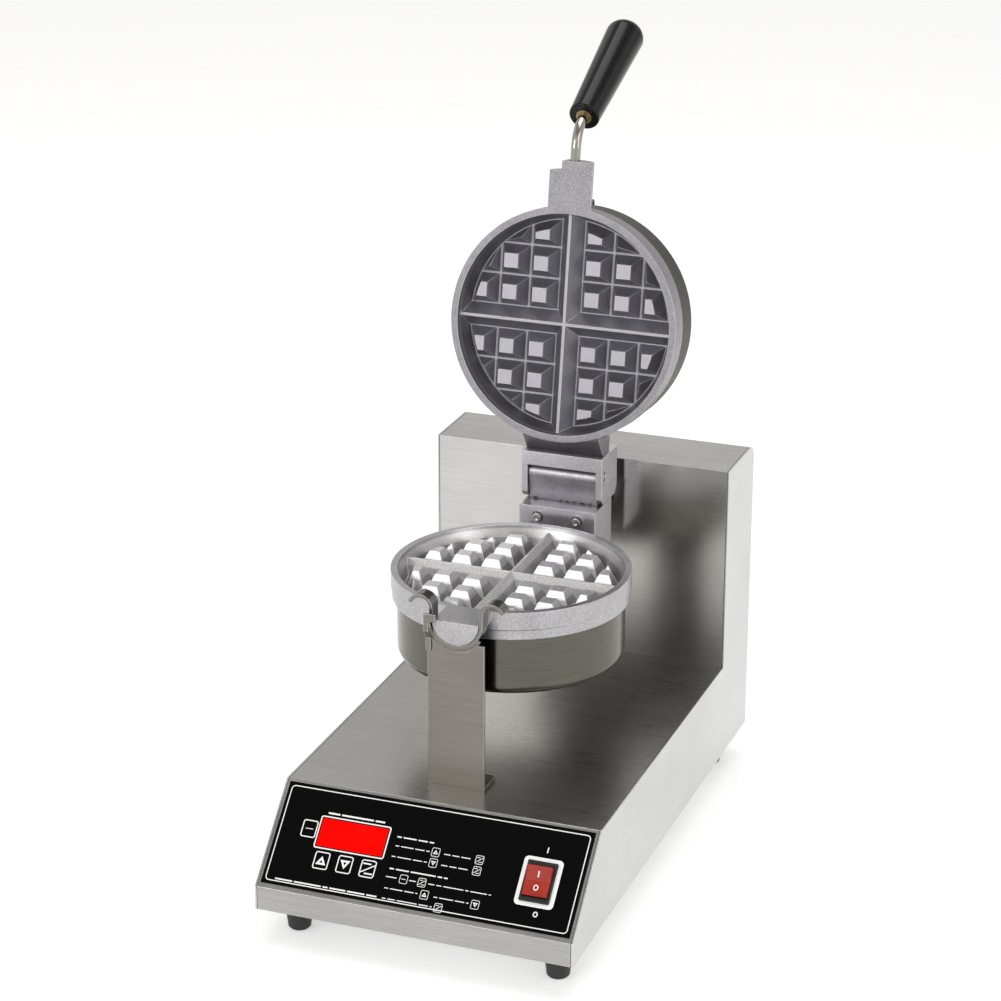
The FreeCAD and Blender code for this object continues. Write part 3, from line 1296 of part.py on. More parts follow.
def handle():
    """Bent steel rod held by a set screw, with a moulded grip on a brass insert."""
    lead = rod("rod_straight", "rod_radius", "rod_lead + rod_seat",
               ("0", f"{BEND_Y}", "-rod_back"), "back")
    bend = doc.addObject("Part::Torus", "rod_elbow")
    bend.Placement = Placement(Vector(), Rotation(Z_AXIS, -Y_AXIS, X_AXIS))
    drive(bend, Radius1="rod_bend", Radius2="rod_radius", Angle3="rod_angle")
    locate(bend, ("0", BEND_Y, BEND_Z))
    tang = doc.addObject("Part::Cylinder", "rod_tang_bar")
    drive(tang, Radius="rod_radius", Height="rod_neck + rod_tang")
    aim_grip(tang, "0")
    lid_node(fuse("handle_rod", lead, bend, tang), "handle_rod")
    body = doc.addObject("Part::Cone", "grip_cone")
    drive(body, Radius1="grip_small", Radius2="grip_large", Height="grip_length")
    aim_grip(body, "rod_neck")
    doc.recompute()
    tip = body.Placement.multVec(Vector(0, 0, sheet.get("grip_length")))
    start = body.Placement.Base
    butt = rounded("grip_butt", body, "grip_round",
                   lambda edge: is_round(edge) and (middle(edge) - tip).Length < 1)
    mouth = rounded("grip_lip", butt, "grip_mouth",
                    lambda edge: is_round(edge) and (middle(edge) - start).Length < 1)
    socket = doc.addObject("Part::Cylinder", "grip_socket")
    drive(socket, Radius="insert_radius + screw_gap", Height="insert_length + 1")
    aim_grip(socket, "rod_neck - 1")
    bore = doc.addObject("Part::Cylinder", "grip_bore")
    drive(bore, Radius="rod_radius + screw_gap", Height="rod_tang + 1")
    aim_grip(bore, "rod_neck")
    lid_node(cut("handle_grip", mouth, socket, bore), "handle_grip")
    sleeve = doc.addObject("Part::Cylinder", "insert_sleeve")
    drive(sleeve, Radius="insert_radius", Height="insert_length + insert_proud")
    aim_grip(sleeve, "rod_neck - insert_proud")
    hole = doc.addObject("Part::Cylinder", "insert_hole")
    drive(hole, Radius="rod_radius + screw_gap", Height="insert_length + 4")
    aim_grip(hole, "rod_neck - 2")
    lid_node(cut("handle_insert", sleeve, hole), "handle_insert")
    grub = rod("grub", "set_screw_radius", "set_screw_out - rod_radius - screw_gap",
               ("-set_screw_out", "-set_screw_at", "-rod_back"), "right")
    socket_tool = rod("grub_socket", "socket_radius", "socket_depth + 1",
                      ("-set_screw_out - 1", "-set_screw_at", "-rod_back"), "right")
    lid_node(cut("handle_set_screw", grub, socket_tool), "handle_set_screw")


# ---------------------------------------------------------------- build, check, write
def build():
    front_skin()
    tower_skin()
    side_panels()
    rear_cover()
    cover_screws()
    bottom_pan()
    feet()
    control_overlay()
    display()
    keys()
    keypad_board()
    power_switch()
    electrics()
    front_support()
    saddle_strip()
    rotation_stop()
    bearing()
    spindle()
    carriage_block()
    hinge_knuckle()
    hinge_yoke()
    lower_grid()
    upper_grid()
    shell("lower", grid_node)
    shell("upper", lid_node)
    heater("lower_heater", grid_node)
    heater("upper_heater", lid_node)
    insulation("lower", grid_node)
    insulation("upper", lid_node)
    lower_sensor()
    handle()
    doc.recompute()


def centre_origin():
    """Sets the setback so that the origin lies under the middle of the machine's depth."""
    whole = nodes[0].Shape.optimalBoundingBox(False)
    for thing in nodes[1:]:
        whole.add(thing.Shape.optimalBoundingBox(False))
    now = sheet.get("setback")
    sheet.set(SETBACK_CELL, str(round(now + whole.Center.y, 3)))
    doc.recompute()


def check():
    for thing in doc.Objects:
        if "Invalid" in thing.State or "Error" in thing.State:
            raise RuntimeError(f"{thing.Label} failed: {thing.State}")
    for thing in nodes:
        if thing.Shape.isNull() or not thing.Shape.isValid():
            raise RuntimeError(f"{thing.Label} has no valid shape")
        if not thing.Shape.Solids:
            raise RuntimeError(f"{thing.Label} has no solid")


build()
centre_origin()
check()
os.makedirs("parts", exist_ok=True)
for thing in nodes:
    thing.Shape.exportStep(f"parts/{thing.Label}.step")
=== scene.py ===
import math

import bmesh
import bpy
from mathutils import Matrix, Vector


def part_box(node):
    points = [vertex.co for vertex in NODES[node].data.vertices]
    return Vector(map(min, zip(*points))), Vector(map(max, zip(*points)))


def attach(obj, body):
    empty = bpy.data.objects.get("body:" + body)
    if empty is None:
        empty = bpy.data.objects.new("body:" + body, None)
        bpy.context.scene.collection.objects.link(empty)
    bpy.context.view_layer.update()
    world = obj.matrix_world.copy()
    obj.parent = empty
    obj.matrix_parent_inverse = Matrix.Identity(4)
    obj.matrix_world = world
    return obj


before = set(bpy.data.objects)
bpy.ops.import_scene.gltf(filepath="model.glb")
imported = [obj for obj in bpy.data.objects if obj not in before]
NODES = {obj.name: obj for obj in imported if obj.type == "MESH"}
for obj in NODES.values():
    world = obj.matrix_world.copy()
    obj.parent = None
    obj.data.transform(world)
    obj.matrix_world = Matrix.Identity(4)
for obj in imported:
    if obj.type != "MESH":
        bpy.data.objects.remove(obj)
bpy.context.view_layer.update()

# Looks for the rotary waffle maker.  Metres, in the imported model's frame: the panel faces -Y.
MM = 0.001
SLOPE = math.radians(44.5)
LID_LEAN = math.radians(8.94)
LIP_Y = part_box("front_skin")[0].y
OVERLAY_LOW = 3.7 * MM
LIP_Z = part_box("control_overlay")[0].z - OVERLAY_LOW * math.sin(SLOPE)
AXIS_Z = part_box("lower_grid")[1].z
PIN_Y = (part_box("hinge_pin")[0].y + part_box("hinge_pin")[1].y) / 2
PIN_Z = (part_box("hinge_pin")[0].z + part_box("hinge_pin")[1].z) / 2
GRID_FROM_LIP = 213.1 * MM
GRID_Y = LIP_Y + GRID_FROM_LIP
LID_FACE = 0.0323
LID_REACH = 0.1265
LID_NORMAL = Vector((0, -math.cos(LID_LEAN), math.sin(LID_LEAN)))
LID_UP = Vector((0, math.sin(LID_LEAN), math.cos(LID_LEAN)))
LID_CENTRE = Vector((0, PIN_Y, PIN_Z)) + LID_NORMAL * LID_FACE + LID_UP * LID_REACH
CAVITY_RADIUS = 0.0884
X_DIR, Y_DIR, Z_DIR = (1, 0, 0), (0, 1, 0), (0, 0, 1)


# ---------------------------------------------------------------- materials
class Look:
    """A Principled material built up node by node, in the object's own coordinates."""

    def __init__(self, name, colour, rough, metal=0.0, **sockets):
        self.material = bpy.data.materials.new(name)
        self.material.use_nodes = True
        self.tree = self.material.node_tree
        self.shader = self.tree.nodes["Principled BSDF"]
        self.put("Base Color", (*colour, 1))
        self.put("Roughness", rough)
        self.put("Metallic", metal)
        for socket, value in sockets.items():
            self.put(socket.replace("_", " "), value)
        self.coords = self.add("ShaderNodeTexCoord").outputs["Object"]

    def put(self, socket, value):
        self.shader.inputs[socket].default_value = value

    def add(self, kind, **settings):
        made = self.tree.nodes.new(kind)
        for key, value in settings.items():
            setattr(made, key, value)
        return made

    def wire(self, source, target):
        self.tree.links.new(source, target)

    def noise(self, scale, detail=3.0, rough=0.55, turn=0.0):
        """Noise with its own density, per metre, along each axis; turn leans it about X."""
        mapping = self.add("ShaderNodeMapping")
        mapping.inputs["Rotation"].default_value = (turn, 0, 0)
        mapping.inputs["Scale"].default_value = scale
        self.wire(self.coords, mapping.inputs["Vector"])
        made = self.add("ShaderNodeTexNoise")
        made.inputs["Scale"].default_value = 1.0
        made.inputs["Detail"].default_value = detail
        made.inputs["Roughness"].default_value = rough
        self.wire(mapping.outputs["Vector"], made.inputs["Vector"])
        return made.outputs["Fac"]

    def cells(self, density, feature="F1"):
        made = self.add("ShaderNodeTexVoronoi", feature=feature)
        made.inputs["Scale"].default_value = density
        self.wire(self.coords, made.inputs["Vector"])
        return made.outputs["Distance"]

    def span(self, value, low, high, new_low=0.0, new_high=1.0):
        made = self.add("ShaderNodeMapRange")
        limits = (("From Min", low), ("From Max", high), ("To Min", new_low), ("To Max", new_high))
        for socket, number in limits:
            made.inputs[socket].default_value = number
        self.wire(value, made.inputs["Value"])
        return made.outputs["Result"]

    def math(self, operation, first, second):
        made = self.add("ShaderNodeMath", operation=operation)
        for socket, value in zip(made.inputs, (first, second)):
            if isinstance(value, (int, float)):
                socket.default_value = value
            else:
                self.wire(value, socket)
        return made.outputs["Value"]

    def mix(self, factor, first, second, blend="MIX"):
        made = self.add("ShaderNodeMix", data_type="RGBA", blend_type=blend)
        for socket, value in ((made.inputs[0], factor), (made.inputs[6], first), (made.inputs[7], second)):
            if isinstance(value, (int, float)):
                socket.default_value = value
            elif isinstance(value, tuple):
                socket.default_value = (*value, 1)
            else:
                self.wire(value, socket)
        return made.outputs[2]

    def rounded(self, radius):
        made = self.add("ShaderNodeBevel", samples=4)
        made.inputs["Radius"].default_value = radius
        return made.outputs["Normal"]

    def edge(self, bevel):
        """About 1 along sharp edges and 0 on flat faces."""
        flat = self.add("ShaderNodeNewGeometry").outputs["Normal"]
        dot = self.add("ShaderNodeVectorMath", operation="DOT_PRODUCT")
        self.wire(bevel, dot.inputs[0])
        self.wire(flat, dot.inputs[1])
        return self.span(dot.outputs["Value"], 0.995, 0.85)

    def hollow(self, distance):
        made = self.add("ShaderNodeAmbientOcclusion", samples=6)
        made.inputs["Distance"].default_value = distance
        return made.outputs["AO"]

    def below(self, origin, normal, top, bottom):
        """0 at the height top and 1 at the height bottom, measured from a plane."""
        offset = self.add("ShaderNodeVectorMath", operation="SUBTRACT")
        self.wire(self.coords, offset.inputs[0])
        offset.inputs[1].default_value = origin
        dot = self.add("ShaderNodeVectorMath", operation="DOT_PRODUCT")
        self.wire(offset.outputs["Vector"], dot.inputs[0])
        dot.inputs[1].default_value = normal
        return self.span(dot.outputs["Value"], top, bottom)

    def within(self, origin, normal, radius):
        """1 inside a cylinder about the line through origin along normal, and 0 outside it."""
        offset = self.add("ShaderNodeVectorMath", operation="SUBTRACT")
        self.wire(self.coords, offset.inputs[0])
        offset.inputs[1].default_value = origin
        across = self.add("ShaderNodeVectorMath", operation="CROSS_PRODUCT")
        self.wire(offset.outputs["Vector"], across.inputs[0])
        across.inputs[1].default_value = normal
        length = self.add("ShaderNodeVectorMath", operation="LENGTH")
        self.wire(across.outputs["Vector"], length.inputs[0])
        return self.span(length.outputs["Value"], radius, radius - 0.0004)

    def bump(self, height, strength, distance, normal=None):
        made = self.add("ShaderNodeBump")
        made.inputs["Strength"].default_value = strength
        made.inputs["Distance"].default_value = distance
        self.wire(height, made.inputs["Height"])
        if normal is not None:
            self.wire(normal, made.inputs["Normal"])
        return made.outputs["Normal"]

    def stretch(self, amount, tangent):
        """Blurs reflections along a fixed direction, square to the grain."""
        self.put("Anisotropic", amount)
        vector = self.add("ShaderNodeCombineXYZ")
        for socket, value in zip(vector.inputs, tangent):
            socket.default_value = value
        self.wire(vector.outputs["Vector"], self.shader.inputs["Tangent"])

    def finish(self, colour=None, rough=None, normal=None):
        for source, socket in ((colour, "Base Color"), (rough, "Roughness"), (normal, "Normal")):
            if source is not None:
                self.wire(source, self.shader.inputs[socket])
        return self.material


def brushed_steel(name, dark, light, grain, tangent, rough, turn=0.0, smudge=(0.84, 1.0), bevel=0.0009,
                  aniso=0.75):
    """Sheet with a fine one-way grain, cloudy handling marks, tiny specks and a painted highlight along its
    folds and edges.
    """
    look = Look(name, light, sum(rough) / 2, 1.0)
    fine = look.noise(grain, 4.0, 0.6, turn)
    broad = look.noise(tuple(value / 2.5 for value in grain), 2.0, 0.5, turn)
    cloud = look.noise((9, 9, 9), 5.0, 0.6)
    specks = look.span(look.noise((1400, 1400, 1400), 1.0, 0.3), 0.72, 0.8)
    streaks = look.math("ADD", look.math("MULTIPLY", fine, 0.6), look.math("MULTIPLY", broad, 0.4))
    colour = look.mix(look.span(streaks, 0.3, 0.7), dark, light)
    smudges = look.span(cloud, 0.3, 0.7, smudge[0], smudge[1])
    colour = look.mix(1.0, colour, smudges, "MULTIPLY")
    colour = look.mix(look.math("MULTIPLY", specks, 0.25), colour, tuple(value * 0.5 for value in dark))
    bevelled = look.rounded(bevel)
    # Painted highlight: sharp edges and folds are mixed towards near-white.
    colour = look.mix(look.math("MULTIPLY", look.edge(bevelled), 0.7), colour, (0.9, 0.89, 0.87))
    roughness = look.math("ADD", look.span(streaks, 0.3, 0.7, rough[0], rough[1]),
                          look.span(cloud, 0.35, 0.75, -0.02, 0.03))
    look.stretch(aniso, tangent)
    return look.finish(colour, roughness, look.bump(fine, 0.035, 0.0001, bevelled))


def cast_metal(name, deep, bright, rough, grit=0.5, plane=None, lit_band_colour=None, cavity=0.014, bevel=0.0009):
    """Sand-cast surface: pitted grit, mottled colour, painted shade in hollows, a painted light band on the
    cavity walls and painted highlights on edges.
    plane is (point, normal, depth where the hollow's colour starts, depth where it is full)."""
    look = Look(name, bright, rough, 1.0)
    pits = look.cells(720.0)
    fine = look.noise((1150, 1150, 1150), 4.0, 0.68)
    mottle = look.noise((55, 55, 55), 4.0, 0.6)
    medium = look.noise((420, 420, 420), 3.0, 0.6)
    shade = look.math("ADD", look.math("MULTIPLY", mottle, 0.5), look.math("MULTIPLY", medium, 0.5))
    colour = look.mix(look.span(shade, 0.36, 0.62), tuple(0.8 * value for value in bright), bright)
    colour = look.mix(look.math("MULTIPLY", look.span(fine, 0.5, 0.66), 0.6), colour,
                      tuple(0.5 * value for value in bright))
    colour = look.mix(look.math("MULTIPLY", look.span(fine, 0.46, 0.34), 0.5), colour,
                      tuple(min(1.0, 1.45 * value) for value in bright))
    # Painted shade: ambient occlusion pulls the colour towards deep in hollows and corners.
    shadow = look.span(look.hollow(cavity), 0.25, 0.9, 1.0, 0.0)
    if plane is not None:
        point, normal, start, full = plane
        inside = look.within(point, normal, CAVITY_RADIUS)
        # Painted light: a lighter band on the cavity walls, a little below the tops and inside the cavity
        # radius.
        lit_band = look.math("MULTIPLY", look.below(point, normal, -0.0016, -0.0028),
                           look.below(point, normal, start, start + 0.0008))
        colour = look.mix(look.math("MULTIPLY", lit_band, inside), colour, lit_band_colour)
        # Darker the deeper into the cavity, inside the cavity radius; merged with the painted hollow shade
        # below.
        deeper_dark = look.math("MULTIPLY", look.below(point, normal, start, full), inside)
        shadow = look.math("MAXIMUM", look.math("MULTIPLY", shadow, 0.45), deeper_dark)
    colour = look.mix(shadow, colour, deep)
    bevelled = look.rounded(bevel)
    # Painted highlight: sharp edges and ridges are mixed towards near-white.
    colour = look.mix(look.math("MULTIPLY", look.edge(bevelled), 0.75), colour, (0.93, 0.93, 0.94))
    roughness = look.math("ADD", look.span(fine, 0.3, 0.7, rough - 0.07, rough + 0.07),
                          look.math("MULTIPLY", shadow, 0.08))
    relief = look.math("ADD", look.math("MULTIPLY", pits, 0.35), look.math("MULTIPLY", fine, 0.65))
    return look.finish(colour, roughness, look.bump(relief, grit, 0.00035, bevelled))


def smooth_metal(name, colour, rough, bevel=0.0004):
    """Turned or plated metal: fine scuffs and a little tarnish."""
    look = Look(name, colour, rough, 1.0)
    scuffs = look.noise((900, 900, 160), 4.0, 0.6)
    tarnish = look.noise((40, 40, 40), 3.0, 0.5)
    shade = look.mix(look.span(tarnish, 0.4, 0.7, 0.0, 0.5), colour, tuple(value * 0.6 for value in colour))
    bevelled = look.rounded(bevel)
    return look.finish(shade, look.span(scuffs, 0.3, 0.7, rough * 0.8, rough * 1.35),
                       look.bump(scuffs, 0.05, 0.0001, bevelled))


def moulded(name, colour, rough, grit=0.15, coat=0.0, specular=0.5, scale=900):
    """Moulded plastic or rubber: fine pebble and a soft colour drift."""
    look = Look(name, colour, rough, 0.0, Coat_Weight=coat, Coat_Roughness=0.06, Specular_IOR_Level=specular)
    pebble = look.noise((scale, scale, scale), 4.0, 0.6)
    drift = look.noise((30, 30, 30), 3.0, 0.5)
    lighter = tuple(min(1.0, value * 1.5 + 0.004) for value in colour)
    shade = look.mix(look.span(drift, 0.35, 0.7), colour, lighter)
    bevelled = look.rounded(0.0005)
    return look.finish(shade, look.span(pebble, 0.3, 0.7, rough * 0.85, rough * 1.15),
                       look.bump(pebble, grit, 0.0002, bevelled))


def printed_board(name):
    look = Look(name, (0.02, 0.16, 0.07), 0.4)
    tracks = look.span(look.cells(260.0, "DISTANCE_TO_EDGE"), 0.03, 0.05)
    pads = look.span(look.cells(420.0), 0.16, 0.2)
    colour = look.mix(tracks, (0.05, 0.27, 0.12), (0.015, 0.12, 0.05))
    colour = look.mix(pads, (0.75, 0.7, 0.55), colour)
    return look.finish(colour, None, look.bump(tracks, 0.2, 0.0001))


def felted(name):
    look = Look(name, (0.72, 0.66, 0.5), 0.95, 0.0)
    fibres = look.noise((2200, 260, 2200), 5.0, 0.7)
    lumps = look.noise((90, 90, 90), 4.0, 0.6)
    colour = look.mix(look.span(fibres, 0.3, 0.7), (0.5, 0.44, 0.3), (0.82, 0.77, 0.62))
    return look.finish(colour, None, look.bump(look.math("ADD", fibres, lumps), 0.6, 0.001))


def lit_window(name):
    """Red acrylic lit from behind: an even glow with a soft colour drift."""
    look = Look(name, (0.85, 0.0, 0.0), 0.22, 0.0, Specular_IOR_Level=0.03)
    glow = look.noise((22, 22, 22), 2.0, 0.5)
    colour = look.mix(look.span(glow, 0.3, 0.7), (0.95, 0.0, 0.0), (1.0, 0.004, 0.002))
    look.wire(colour, look.shader.inputs["Emission Color"])
    look.put("Emission Strength", 0.95)
    return look.finish(None, None, look.bump(look.noise((700, 700, 700)), 0.03, 0.0001))


def rocker_red(name):
    """Translucent red rocker with a soft drift in its red."""
    look = Look(name, (0.4, 0.03, 0.02), 0.32, 0.0, Specular_IOR_Level=0.25)
    drift = look.noise((110, 110, 110), 3.0, 0.5)
    colour = look.mix(look.span(drift, 0.3, 0.7), (0.3, 0.022, 0.014), (0.42, 0.04, 0.026))
    look.wire(colour, look.shader.inputs["Emission Color"])
    look.put("Emission Strength", 0.06)
    grain = look.noise((900, 900, 900))
    return look.finish(colour, None, look.bump(grain, 0.05, 0.0001, look.rounded(0.0008)))


def panel_film(name):
    """Glossy black overlay film with a trace of orange peel."""
    look = Look(name, (0.002, 0.002, 0.0022), 0.22, 0.0, Specular_IOR_Level=0.08)
    peel = look.noise((260, 260, 260), 2.0, 0.5)
    dust = look.noise((3200, 3200, 3200), 1.0, 0.4)
    return look.finish(None, look.span(dust, 0.3, 0.8, 0.16, 0.3),
                       look.bump(peel, 0.04, 0.0001, look.rounded(0.0004)))


def ink_white(name):
    # Painted light: the white ink is given a faint glow of its own.
    look = Look(name, (0.86, 0.86, 0.84), 0.5, 0.0, Emission_Color=(1, 1, 1, 1), Emission_Strength=0.14)
    print_grain = look.noise((4200, 4200, 4200), 2.0, 0.5)
    return look.finish(look.mix(look.span(print_grain, 0.35, 0.7), (0.74, 0.74, 0.73), (0.92, 0.92, 0.9)))


def grip_plastic(name):
    """Polished phenolic grip with faint flow lines along its length."""
    look = Look(name, (0.002, 0.002, 0.002), 0.14, 0.0, Specular_IOR_Level=0.22, Coat_Weight=0.08,
                Coat_Roughness=0.07)
    flow = look.noise((1500, 60, 60), 3.0, 0.6)
    scuff = look.noise((500, 500, 500), 4.0, 0.6)
    colour = look.mix(look.span(flow, 0.55, 0.75), (0.003, 0.003, 0.003), (0.014, 0.014, 0.013))
    return look.finish(colour, look.span(scuff, 0.3, 0.7, 0.1, 0.24),
                       look.bump(flow, 0.08, 0.0001, look.rounded(0.0012)))


def across_x(density):
    """Grain that runs along X."""
    return (density / 70, density, density)


HOUSING = brushed_steel("brushed_housing", (0.5, 0.49, 0.475), (0.64, 0.63, 0.615),
                        across_x(2300), Z_DIR, (0.17, 0.22))
# Painted shade: the deck is the housing's steel with a darker base colour.
DECK = brushed_steel("brushed_deck", (0.37, 0.36, 0.345), (0.5, 0.488, 0.47),
                     across_x(2300), Z_DIR, (0.25, 0.33), aniso=0.6)
SIDE = brushed_steel("brushed_side", (0.55, 0.55, 0.545), (0.69, 0.69, 0.685),
                     (2300, 33, 2300), Z_DIR, (0.22, 0.28))
SUPPORT = brushed_steel("brushed_support", (0.19, 0.178, 0.158), (0.25, 0.234, 0.21),
                        across_x(2300), Z_DIR, (0.17, 0.22))
DRUM = brushed_steel("spun_drum", (0.112, 0.106, 0.09), (0.16, 0.152, 0.131),
                     (33, 33, 2300), Z_DIR, (0.17, 0.23))
# Painted shade: the lid's shell is the drum's steel with a darker base colour.
LID_DRUM = brushed_steel("spun_lid_drum", (0.06, 0.0585, 0.049), (0.088, 0.086, 0.073), (33, 33, 2300),
                         tuple(LID_NORMAL), (0.3, 0.4), math.pi / 2 + LID_LEAN)
LOWER_CAST = cast_metal("cast_lower_grid", (0.5, 0.485, 0.475), (0.47, 0.462, 0.475), 0.3, 0.4,
                        ((0, GRID_Y, AXIS_Z), (0, 0, 1), -0.0098, -0.03), (0.66, 0.655, 0.66))
UPPER_CAST = cast_metal("cast_upper_grid", (0.36, 0.355, 0.385), (0.33, 0.32, 0.345), 0.36, 0.9,
                        (tuple(LID_CENTRE), tuple(LID_NORMAL), -0.0052, -0.0125), (0.42, 0.41, 0.445), 0.009)
MACHINED = cast_metal("machined_grey", (0.32, 0.31, 0.33), (0.74, 0.725, 0.765), 0.31, 0.3, cavity=0.006)
KNUCKLE = cast_metal("knuckle_grey", (0.25, 0.24, 0.26), (0.5, 0.488, 0.53), 0.3, 0.2)
IRON = cast_metal("iron_grey", (0.1, 0.1, 0.1), (0.34, 0.33, 0.32), 0.5, 0.6)
FASTENER = smooth_metal("fastener_grey", (0.72, 0.71, 0.7), 0.24)
BRASS = smooth_metal("brass", (0.36, 0.27, 0.13), 0.26)
DARK_BRASS = smooth_metal("dark_brass", (0.16, 0.14, 0.09), 0.3)
BRONZE = smooth_metal("bronze", (0.5, 0.31, 0.16), 0.35)
# Painted reflection: chrome with a base darker than bare chrome, standing in for dark reflections.
CHROME = smooth_metal("chrome", (0.42, 0.4, 0.37), 0.09)
SHEATH = smooth_metal("heater_sheath", (0.2, 0.19, 0.18), 0.45)
RUBBER = moulded("foot_rubber", (0.012, 0.012, 0.012), 0.55, 0.35)
CASE = moulded("case_black", (0.012, 0.012, 0.012), 0.35, 0.15)
GREY_CASE = moulded("case_grey", (0.5, 0.5, 0.48), 0.45, 0.2)
PANEL = panel_film("panel_film")
INK = ink_white("ink_white")
WINDOW = lit_window("window_glow")
ROCKER = rocker_red("rocker_red")
GRIP = grip_plastic("grip_black")
BOARD = printed_board("board_green")
WOOL = felted("mineral_wool")
SEAM = moulded("seam_shadow", (0.035, 0.032, 0.03), 0.7, 0.2)

FINISHES = {
    HOUSING: ("tower_skin",),
    DECK: ("front_skin",),
    SIDE: ("left_side_panel", "right_side_panel", "rear_cover", "bottom_pan"),
    SUPPORT: ("front_support", "saddle_strip", "rotation_stop"),
    DRUM: ("lower_shell",),
    LID_DRUM: ("upper_shell",),
    LOWER_CAST: ("lower_grid",),
    UPPER_CAST: ("upper_grid",),
    MACHINED: ("hinge_yoke", "carriage_block"),
    KNUCKLE: ("hinge_knuckle",),
    IRON: ("bearing_housing",),
    FASTENER: ("cover_screws", "foot_screws", "support_screws", "bearing_screws", "carriage_screws",
               "yoke_bolts", "lower_grid_bolts", "lower_shell_screw", "upper_shell_screw", "spindle_nut",
               "hinge_pin", "spindle", "high_limit_thermostat"),
    BRASS: ("handle_insert", "board_standoffs"),
    DARK_BRASS: ("handle_set_screw",),
    BRONZE: ("spindle_bush",),
    CHROME: ("handle_rod",),
    SHEATH: ("lower_heater", "upper_heater", "lower_sensor"),
    RUBBER: ("foot_front_left", "foot_front_right", "foot_rear_left", "foot_rear_right"),
    CASE: ("switch_body", "solid_state_relay", "cord_gland", "display_module"),
    GREY_CASE: ("terminal_block",),
    PANEL: ("control_overlay", "temp_key", "up_key", "down_key", "start_key"),
    WINDOW: ("display_window",),
    ROCKER: ("power_rocker",),
    GRIP: ("handle_grip",),
    BOARD: ("control_board", "keypad_board"),
    WOOL: ("lower_insulation", "upper_insulation"),
}


def dress_nodes():
    for material, names in FINISHES.items():
        for name in names:
            mesh = NODES[name].data
            mesh.materials.clear()
            mesh.materials.append(material)


# ---------------------------------------------------------------- small pieces
def ellipse(x, t, half_width, half_height, steps):
    """Points round an ellipse centred on (x, t)."""
    turns = [math.tau * step / steps for step in range(steps)]
    return [(x + half_width * math.cos(turn), t + half_height * math.sin(turn)) for turn in turns]


class Solids:
    """Gathers closed shapes into one mesh; flat outlines lie in the matrix's XY plane."""

    def __init__(self):
        self.mesh = bmesh.new()

    def loop(self, points, height, matrix):
        return [self.mesh.verts.new(matrix @ Vector((x, y, height))) for x, y in points]

    def skirt(self, first, second):
        for index in range(len(first)):
            after = (index + 1) % len(first)
            self.mesh.faces.new((first[index], first[after], second[after], second[index]))

    def plate(self, outline, low, high, matrix):
        bottom, top = self.loop(outline, low, matrix), self.loop(outline, high, matrix)
        self.mesh.faces.new(bottom[::-1])
        self.mesh.faces.new(top)
        self.skirt(bottom, top)

    def frame(self, outer, inner, low, high, matrix):
        rings = [self.loop(outer, low, matrix), self.loop(outer, high, matrix),
                 self.loop(inner, high, matrix), self.loop(inner, low, matrix)]
        for index in range(4):
            self.skirt(rings[index], rings[(index + 1) % 4])

    def turned(self, profile, matrix, segments=96):
        """A ring swept round the matrix's Z from a closed profile of (radius, height)."""
        rings = []
        for radius, height in profile:
            rings.append(self.loop(ellipse(0, 0, radius, radius, segments), height, matrix))
        for index in range(len(rings)):
            self.skirt(rings[index], rings[(index + 1) % len(rings)])

    def bead(self, centre, radii, matrix=Matrix()):
        """A squashed ball, such as one ripple of a weld."""
        made = bmesh.ops.create_icosphere(self.mesh, subdivisions=3, radius=1.0)["verts"]
        size = Matrix.Diagonal((*radii, 1))
        bmesh.ops.transform(self.mesh, matrix=Matrix.Translation(centre) @ matrix @ size, verts=made)

    def piece(self, name, material, body, smooth=False):
        bmesh.ops.recalc_face_normals(self.mesh, faces=self.mesh.faces)
        data = bpy.data.meshes.new(name)
        self.mesh.to_mesh(data)
        self.mesh.free()
        data.materials.append(material)
        if smooth:
            data.polygons.foreach_set("use_smooth", [True] * len(data.polygons))
        made = bpy.data.objects.new(name, data)
        bpy.context.scene.collection.objects.link(made)
        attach(made, body)
        return made


def basis(x_axis, y_axis, origin):
    x_axis, y_axis = Vector(x_axis).normalized(), Vector(y_axis).normalized()
    z_axis = x_axis.cross(y_axis)
    matrix = Matrix((x_axis, y_axis, z_axis)).transposed().to_4x4()
    matrix.translation = Vector(origin)
    return matrix


PANEL_PLANE = basis(X_DIR, (0, math.cos(SLOPE), math.sin(SLOPE)), (0, LIP_Y, LIP_Z)) @ Matrix.Scale(MM, 4)
FILM = 0.5
KEY_TOP = 0.9
INK_RISE = 0.06


def round_corners(x, t, width, height, radius, steps=5):
    points = []
    for number, (side, rise) in enumerate(((1, 1), (-1, 1), (-1, -1), (1, -1))):
        for step in range(steps + 1):
            angle = math.radians(90 * number + 90 * step / steps)
            points.append((x + side * (width / 2 - radius) + radius * math.cos(angle),
                           t + rise * (height / 2 - radius) + radius * math.sin(angle)))
    return points


def outline(solids, x, t, width, height, radius, line, base):
    solids.frame(round_corners(x, t, width, height, radius),
                 round_corners(x, t, width - 2 * line, height - 2 * line, max(radius - line, 0.2)),
                 base, base + INK_RISE, PANEL_PLANE)


def triangle(solids, x, t, size, way, base):
    """A filled triangle with a hollow in its middle; way is 1 for up and -1 for down."""
    def points(scale, shift):
        return [(x + size * scale * px, t + way * (size * scale * py + shift))
                for px, py in ((0.0, 0.9), (-0.95, -0.7), (0.95, -0.7))]
    solids.frame(points(1.0, 0), points(0.36, -0.1 * size), base, base + INK_RISE, PANEL_PLANE)


def bar(solids, x, t, width, height, base, turn=0.0):
    cosine, sine = math.cos(turn), math.sin(turn)
    corners = [(-width / 2, -height / 2), (width / 2, -height / 2),
               (width / 2, height / 2), (-width / 2, height / 2)]
    solids.plate([(x + cosine * a - sine * b, t + sine * a + cosine * b) for a, b in corners],
                 base, base + INK_RISE, PANEL_PLANE)


